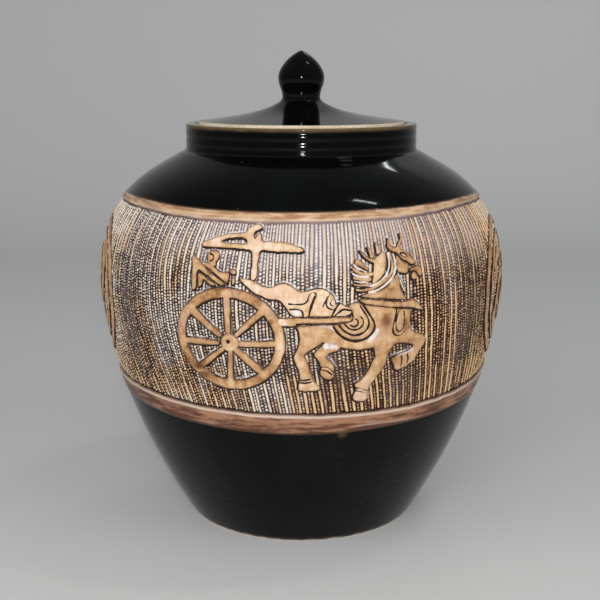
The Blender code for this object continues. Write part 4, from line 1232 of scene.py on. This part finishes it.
lid = {
    "edgeThickness": 0.0026,
    "edgeRound": 0.0009,
    "height": 0.0171,
    "wall": 0.0058,
    "seatHeight": wall["seatHeight"] + 0.0003,
    "edgeRadius": lidHigh.x,
    "spigotRadius": 0.0635,
    "spigotDepth": 0.0140,
    "spigotWall": 0.0065,
    "spigotBevel": 0.4 * mm,
    "toeRound": 1.2 * mm,
    "grooveTop": 0.0042,
    "grooveHeight": 0.0044,
    "grooveDepth": 0.0026,
    "edgeHandleShare": (0.62, 0.33),
    "topHandleShare": (0.20, 0.52),
    "filletReach": 0.0024,  # the slip worked up round the knob's foot
    "filletRise": 0.0024,
    "ripplePitch": 5.2 * mm,
    "rippleDepth": 0.02 * mm,
    "bareFade": (1.5 * mm, 0.75 * mm),  # from the edge: where the glaze ends, and the clay is bare
    "thinLine": 1.9 * mm,  # from the edge
    "steps": 224,
}
knob = {
    "footRadius": 0.0134,
    "radius": knobHigh.x,
    "bellyHeight": 0.0152,
    "height": 0.0340,
    "foot": knobLow.z,
    "waistHandleShare": (0.02, 0.50),
    "bellyHandleShare": 0.42,
    "tipHandleShare": (0.42, 0.12),
    "steps": 128,
}


def domeCurve(p, k):  # the lid's top from the knob's foot to the edge
    base = p["seatHeight"]
    reach = p["edgeRadius"] - p["edgeRound"] - k["footRadius"]
    rise = p["height"] - p["edgeThickness"]
    edgeTop = (p["edgeRadius"] - p["edgeRound"], base + p["edgeThickness"])
    crown = (k["footRadius"], base + p["height"])
    dome = bend(
        crown,
        (crown[0] + p["topHandleShare"][0] * reach, crown[1] - p["topHandleShare"][1] * rise),
        (edgeTop[0] - p["edgeHandleShare"][0] * reach, edgeTop[1] + p["edgeHandleShare"][1] * rise),
        edgeTop,
        60,
    )
    reachSoFar = (dome[:, 0] - crown[0]) / reach
    waves = p["rippleDepth"] * np.sin(dome[:, 0] / p["ripplePitch"] * math.tau)
    dome[:, 1] += waves * np.sin(reachSoFar * math.pi)
    return dome


def lidOutline(p, k):
    base = p["seatHeight"]
    foot, crown = k["footRadius"], base + p["height"]
    dome = domeCurve(p, k)
    dome = dome[dome[:, 0] > foot + p["filletReach"]]
    slope = (dome[1] - dome[0]) / np.hypot(*(dome[1] - dome[0]))
    fillet = bend(
        (foot - 0.15 * mm, crown + p["filletRise"]),
        (foot + 0.15 * mm, crown + 0.3 * mm),
        tuple(dome[0] - slope * p["filletReach"] * 0.7),
        tuple(dome[0]),
        9,
    )
    edgeMiddle = (p["edgeRadius"] - p["edgeRound"], base + p["edgeThickness"] - p["edgeRound"])
    edge = arc(edgeMiddle, p["edgeRound"], 75, 0, 5)
    grooveFloor = p["spigotRadius"] - p["grooveDepth"]
    grooveLow = base - p["grooveTop"] - p["grooveHeight"]
    spigotLow = base - p["spigotDepth"]
    inside = p["spigotRadius"] - p["spigotWall"]
    collar = [
        (p["edgeRadius"], base + 0.2 * mm),
        (p["edgeRadius"] - 0.3 * mm, base),
        (p["spigotRadius"] + p["spigotBevel"], base),
        (p["spigotRadius"], base - p["spigotBevel"]),
        (p["spigotRadius"], base - p["grooveTop"]),
        (grooveFloor, base - p["grooveTop"]),
        (grooveFloor, grooveLow),
        (p["spigotRadius"], grooveLow),
    ]
    soft = p["toeRound"]
    toe = arc((p["spigotRadius"] - soft, spigotLow + soft), soft, 0, -90, 4)
    heel = arc((inside + soft, spigotLow + soft), soft, -90, -180, 4)
    ceilingEdge = (inside, base + p["edgeThickness"] - p["wall"] / 2)
    ceilingTop = (0, base + p["height"] - p["wall"] * 2)
    ceiling = bend(
        ceilingEdge,
        (inside * (1 - p["edgeHandleShare"][1]), ceilingEdge[1] + p["wall"] / 4),
        (inside * p["topHandleShare"][1], ceilingTop[1]),
        ceilingTop,
        24,
    )
    top = [(0, crown), (foot - 0.9 * mm, crown), (foot - 0.8 * mm, crown + p["filletRise"] - 0.1 * mm)]
    parts = (top, fillet[:-1], dome, edge, collar, toe, heel, ceiling)
    return np.concatenate([np.array(part, float) for part in parts])


def knobOutline(k):
    foot = k["foot"]
    cap = k["height"] - k["bellyHeight"]
    waist, tip = k["waistHandleShare"], k["tipHandleShare"]
    belly = (k["radius"], foot + k["bellyHeight"])
    stem = bend(
        (k["footRadius"], foot),
        (k["footRadius"] * (1 - waist[0]), foot + k["bellyHeight"] * waist[1]),
        (k["radius"], foot + k["bellyHeight"] * (1 - k["bellyHandleShare"])),
        belly,
        22,
    )
    bud = bend(
        belly,
        (k["radius"], belly[1] + k["bellyHandleShare"] * cap),
        (tip[0] * k["radius"], foot + k["height"] - tip[1] * cap),
        (0, foot + k["height"]),
        28,
    )
    return np.concatenate([np.array([(0, foot)]), stem, bud[1:]])


def lidPieces(p, k):
    piece = turned("glazed_lid", lidOutline(p, k), p["steps"])
    spots = places(piece.data)
    radius, height = np.hypot(spots[:, 0], spots[:, 1]), spots[:, 2]
    under = height < p["seatHeight"] + p["edgeThickness"] - 0.35 * mm
    around = np.arctan2(spots[:, 0], -spots[:, 1]) / math.tau * girth
    wiped = radius + 0.2 * mm * softNoise(around, height * 0, (8, 8), 41)
    edgeBand = smoothStep(*(p["edgeRadius"] - inward for inward in p["bareFade"]), wiped)
    bare = np.where(under, 1.0, edgeBand)
    outer = radius > k["footRadius"] - 0.2 * mm
    inner = (radius < p["spigotRadius"]) & (domeTop(radius, p, k) - height > p["wall"] * 0.5)
    bare = np.where(inner, 1.0, np.where(outer, bare, 0.0))
    setAttribute(piece.data, "bare", bare)
    thin = peak(p["edgeRadius"] - p["thinLine"], 1.2 * mm, radius) * 0.5 * (1 - bare)
    setAttribute(piece.data, "thin", thin)
    piece.data.materials.append(glazePaint("lid_glaze", glaze))
    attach(piece, "lid")
    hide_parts("lid")

    bud = turned("glazed_knob", knobOutline(k), k["steps"])
    spots = places(bud.data)
    tip = smoothStep(k["foot"] + k["height"] - 2.2 * mm, k["foot"] + k["height"], spots[:, 2])
    setAttribute(bud.data, "bare", np.zeros(len(spots)))
    setAttribute(bud.data, "thin", tip * 0.3)
    bud.data.materials.append(glazePaint("knob_glaze", glaze))
    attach(bud, "lid")
    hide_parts("lid_knob")


def domeTop(radius, p, k):  # height of the dome's outside at a radius
    dome = domeCurve(p, k)
    return np.interp(radius, dome[:, 0], dome[:, 1])


lidPieces(lid, knob)
print("lid and knob made")

seal = {
    "ribThickness": 0.0013,
    "bodyProud": 0.0006,
    "gap": 0.0003,
    "bevel": 0.2 * mm,
    "valleyRound": 0.5 * mm,
    "white": (0.74, 0.73, 0.70),
    "shade": (0.60, 0.585, 0.55),
    "roughness": 0.42,
    "steps": 192,
}


def sealRing(s, p):
    inner = p["spigotRadius"] - p["grooveDepth"] + s["gap"]
    body = p["spigotRadius"] + s["bodyProud"]
    wiping = ringHigh.x
    half = s["ribThickness"] / 2
    bevel, valley = s["bevel"], s["valleyRound"]
    outline = [(inner, ringLow.z + bevel), (inner + bevel, ringLow.z)]
    outline += list(arc((wiping - half, ringLow.z + half), half, -90, 90, 8))
    outline += list(arc((body + valley, (ringLow.z + ringHigh.z) / 2), valley, 250, 110, 6))
    outline += list(arc((wiping - half, ringHigh.z - half), half, -90, 90, 8))
    outline += [(inner + bevel, ringHigh.z), (inner, ringHigh.z - bevel)]
    piece = turned("silicone_ring", outline, s["steps"], closed=True)
    paint = Paint("milky_silicone", {"Metallic": 0.0, "IOR": 1.41})
    cloudy = paint.noise(60, 3)
    colour = paint.mix(paint.spread(cloudy, 0.35, 0.7), s["white"], s["shade"])
    grain = paint.bump(paint.noise(700, 2), 0.1, 0.0003)
    piece.data.materials.append(paint.finish(colour, s["roughness"] + 0.2 * cloudy, grain))
    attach(piece, "lid")
    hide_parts("seal_ring")


sealRing(seal, lid)
print("seal ring made")

view = {
    "height": 0.3200,
    "distance": 0.7954,
    "aside": -0.0009,
    "tiltDown": 11.86,  # degrees
    "lens": 66.25,  # millimetres, for a sensor 36 wide
}
stage = {
    "floor": (0.50, 0.50, 0.49),  # as it lights the jar
    "shownFloor": (0.78, 0.78, 0.77),  # as it is seen and mirrored
    "width": 8.0,
    "front": -3.0,
    "back": 1.9,
    "wall": 3.2,
    "bend": 0.8,
    "worldStrength": 0.22,
}
lamps = {  # place, aim, width and height, power in watts, colour
    "flash": ((0.02, -0.90, 0.37), (0, 0, 0.18), (0.035, 0.035), 2.6, (0.96, 0.97, 1.0)),
    "softFront": ((-0.35, -2.1, 1.15), (0, 0, 0.17), (1.8, 1.4), 19.5, (1.0, 0.99, 0.97)),
    "softLeft": ((-2.0, -1.0, 1.0), (0, 0, 0.17), (1.4, 1.4), 9.0, (1.0, 0.99, 0.98)),
    "softRight": ((2.0, -1.2, 1.0), (0, 0, 0.17), (1.4, 1.4), 10.0, (1.0, 1.0, 1.0)),
    "tubeNear": ((0.78, -0.02, 2.0), (0.78, -0.02, 0), (0.34, 0.022), 1.8, (0.92, 1.0, 0.97)),
    "tubeFar": ((0.72, 1.60, 2.0), (0.72, 1.60, 0), (0.52, 0.022), 2.0, (0.92, 1.0, 0.97)),
}


def camera(v):
    data = bpy.data.cameras.new("camera")
    data.lens = v["lens"]
    data.sensor_width = 36
    data.clip_start = 0.01
    eye = link("camera", data)
    eye.location = (v["aside"], -v["distance"], v["height"])
    eye.rotation_euler = (math.radians(90 - v["tiltDown"]), 0, 0)
    bpy.context.scene.camera = eye


def backdrop(s):  # one sheet: floor, bend and wall
    line = [(s["front"], 0.0), (s["back"] - s["bend"], 0.0)]
    line += [tuple(point) for point in arc((s["back"] - s["bend"], s["bend"]), s["bend"], -90, 0, 16)][1:]
    line += [(s["back"], s["wall"])]
    shape = bmesh.new()
    corners = [shape.verts.new((-s["width"] / 2, y, z)) for y, z in line]
    rail = [shape.edges.new(pair) for pair in zip(corners, corners[1:])]
    swept = bmesh.ops.extrude_edge_only(shape, edges=rail)["geom"]
    moved = [item for item in swept if isinstance(item, bmesh.types.BMVert)]
    bmesh.ops.translate(shape, verts=moved, vec=(s["width"], 0, 0))
    bmesh.ops.recalc_face_normals(shape, faces=shape.faces[:])
    if sum(face.normal.z for face in shape.faces) < 0:
        bmesh.ops.reverse_faces(shape, faces=shape.faces[:])
    mesh = bpy.data.meshes.new("backdrop")
    shape.to_mesh(mesh)
    shape.free()
    mesh.shade_smooth()
    sheet = link("backdrop", mesh)
    paint = Paint("pale_sweep", {"Roughness": 0.65})
    ways = ("Is Camera Ray", "Is Glossy Ray", "Is Transmission Ray")
    seen, mirrored, through = (paint.node("LightPath", {}, out=way) for way in ways)
    shown = (seen + mirrored + through).clamped()
    paint.feed(paint.shader.inputs["Base Color"], paint.mix(shown, s["floor"], s["shownFloor"]))
    mesh.materials.append(paint.material)


def light(name, place, aim, size, power, colour):
    data = bpy.data.lights.new(name, "AREA")
    data.shape = "RECTANGLE"
    data.size, data.size_y = size
    data.energy = power
    data.color = colour
    lamp = link(name, data)
    lamp.location = place
    toward = [a - b for a, b in zip(aim, place)]
    flat = math.hypot(toward[0], toward[1])
    lamp.rotation_euler = (math.atan2(flat, -toward[2]), 0, math.atan2(-toward[0], toward[1]))
    lamp.visible_glossy = not name.startswith("soft")  # the glaze mirrors only the flash and the tubes


def world(s):
    sky = bpy.data.worlds.new("world")
    bpy.context.scene.world = sky
    sky.use_nodes = True
    sky.node_tree.nodes["Background"].inputs["Color"].default_value = (0.95, 0.96, 1.0, 1)
    sky.node_tree.nodes["Background"].inputs["Strength"].default_value = s["worldStrength"]


camera(view)
backdrop(stage)
world(stage)
for lampName, settings in lamps.items():
    light(lampName, *settings)
bpy.context.scene.view_settings.view_transform = "Standard"
print("camera, backdrop and lamps set")
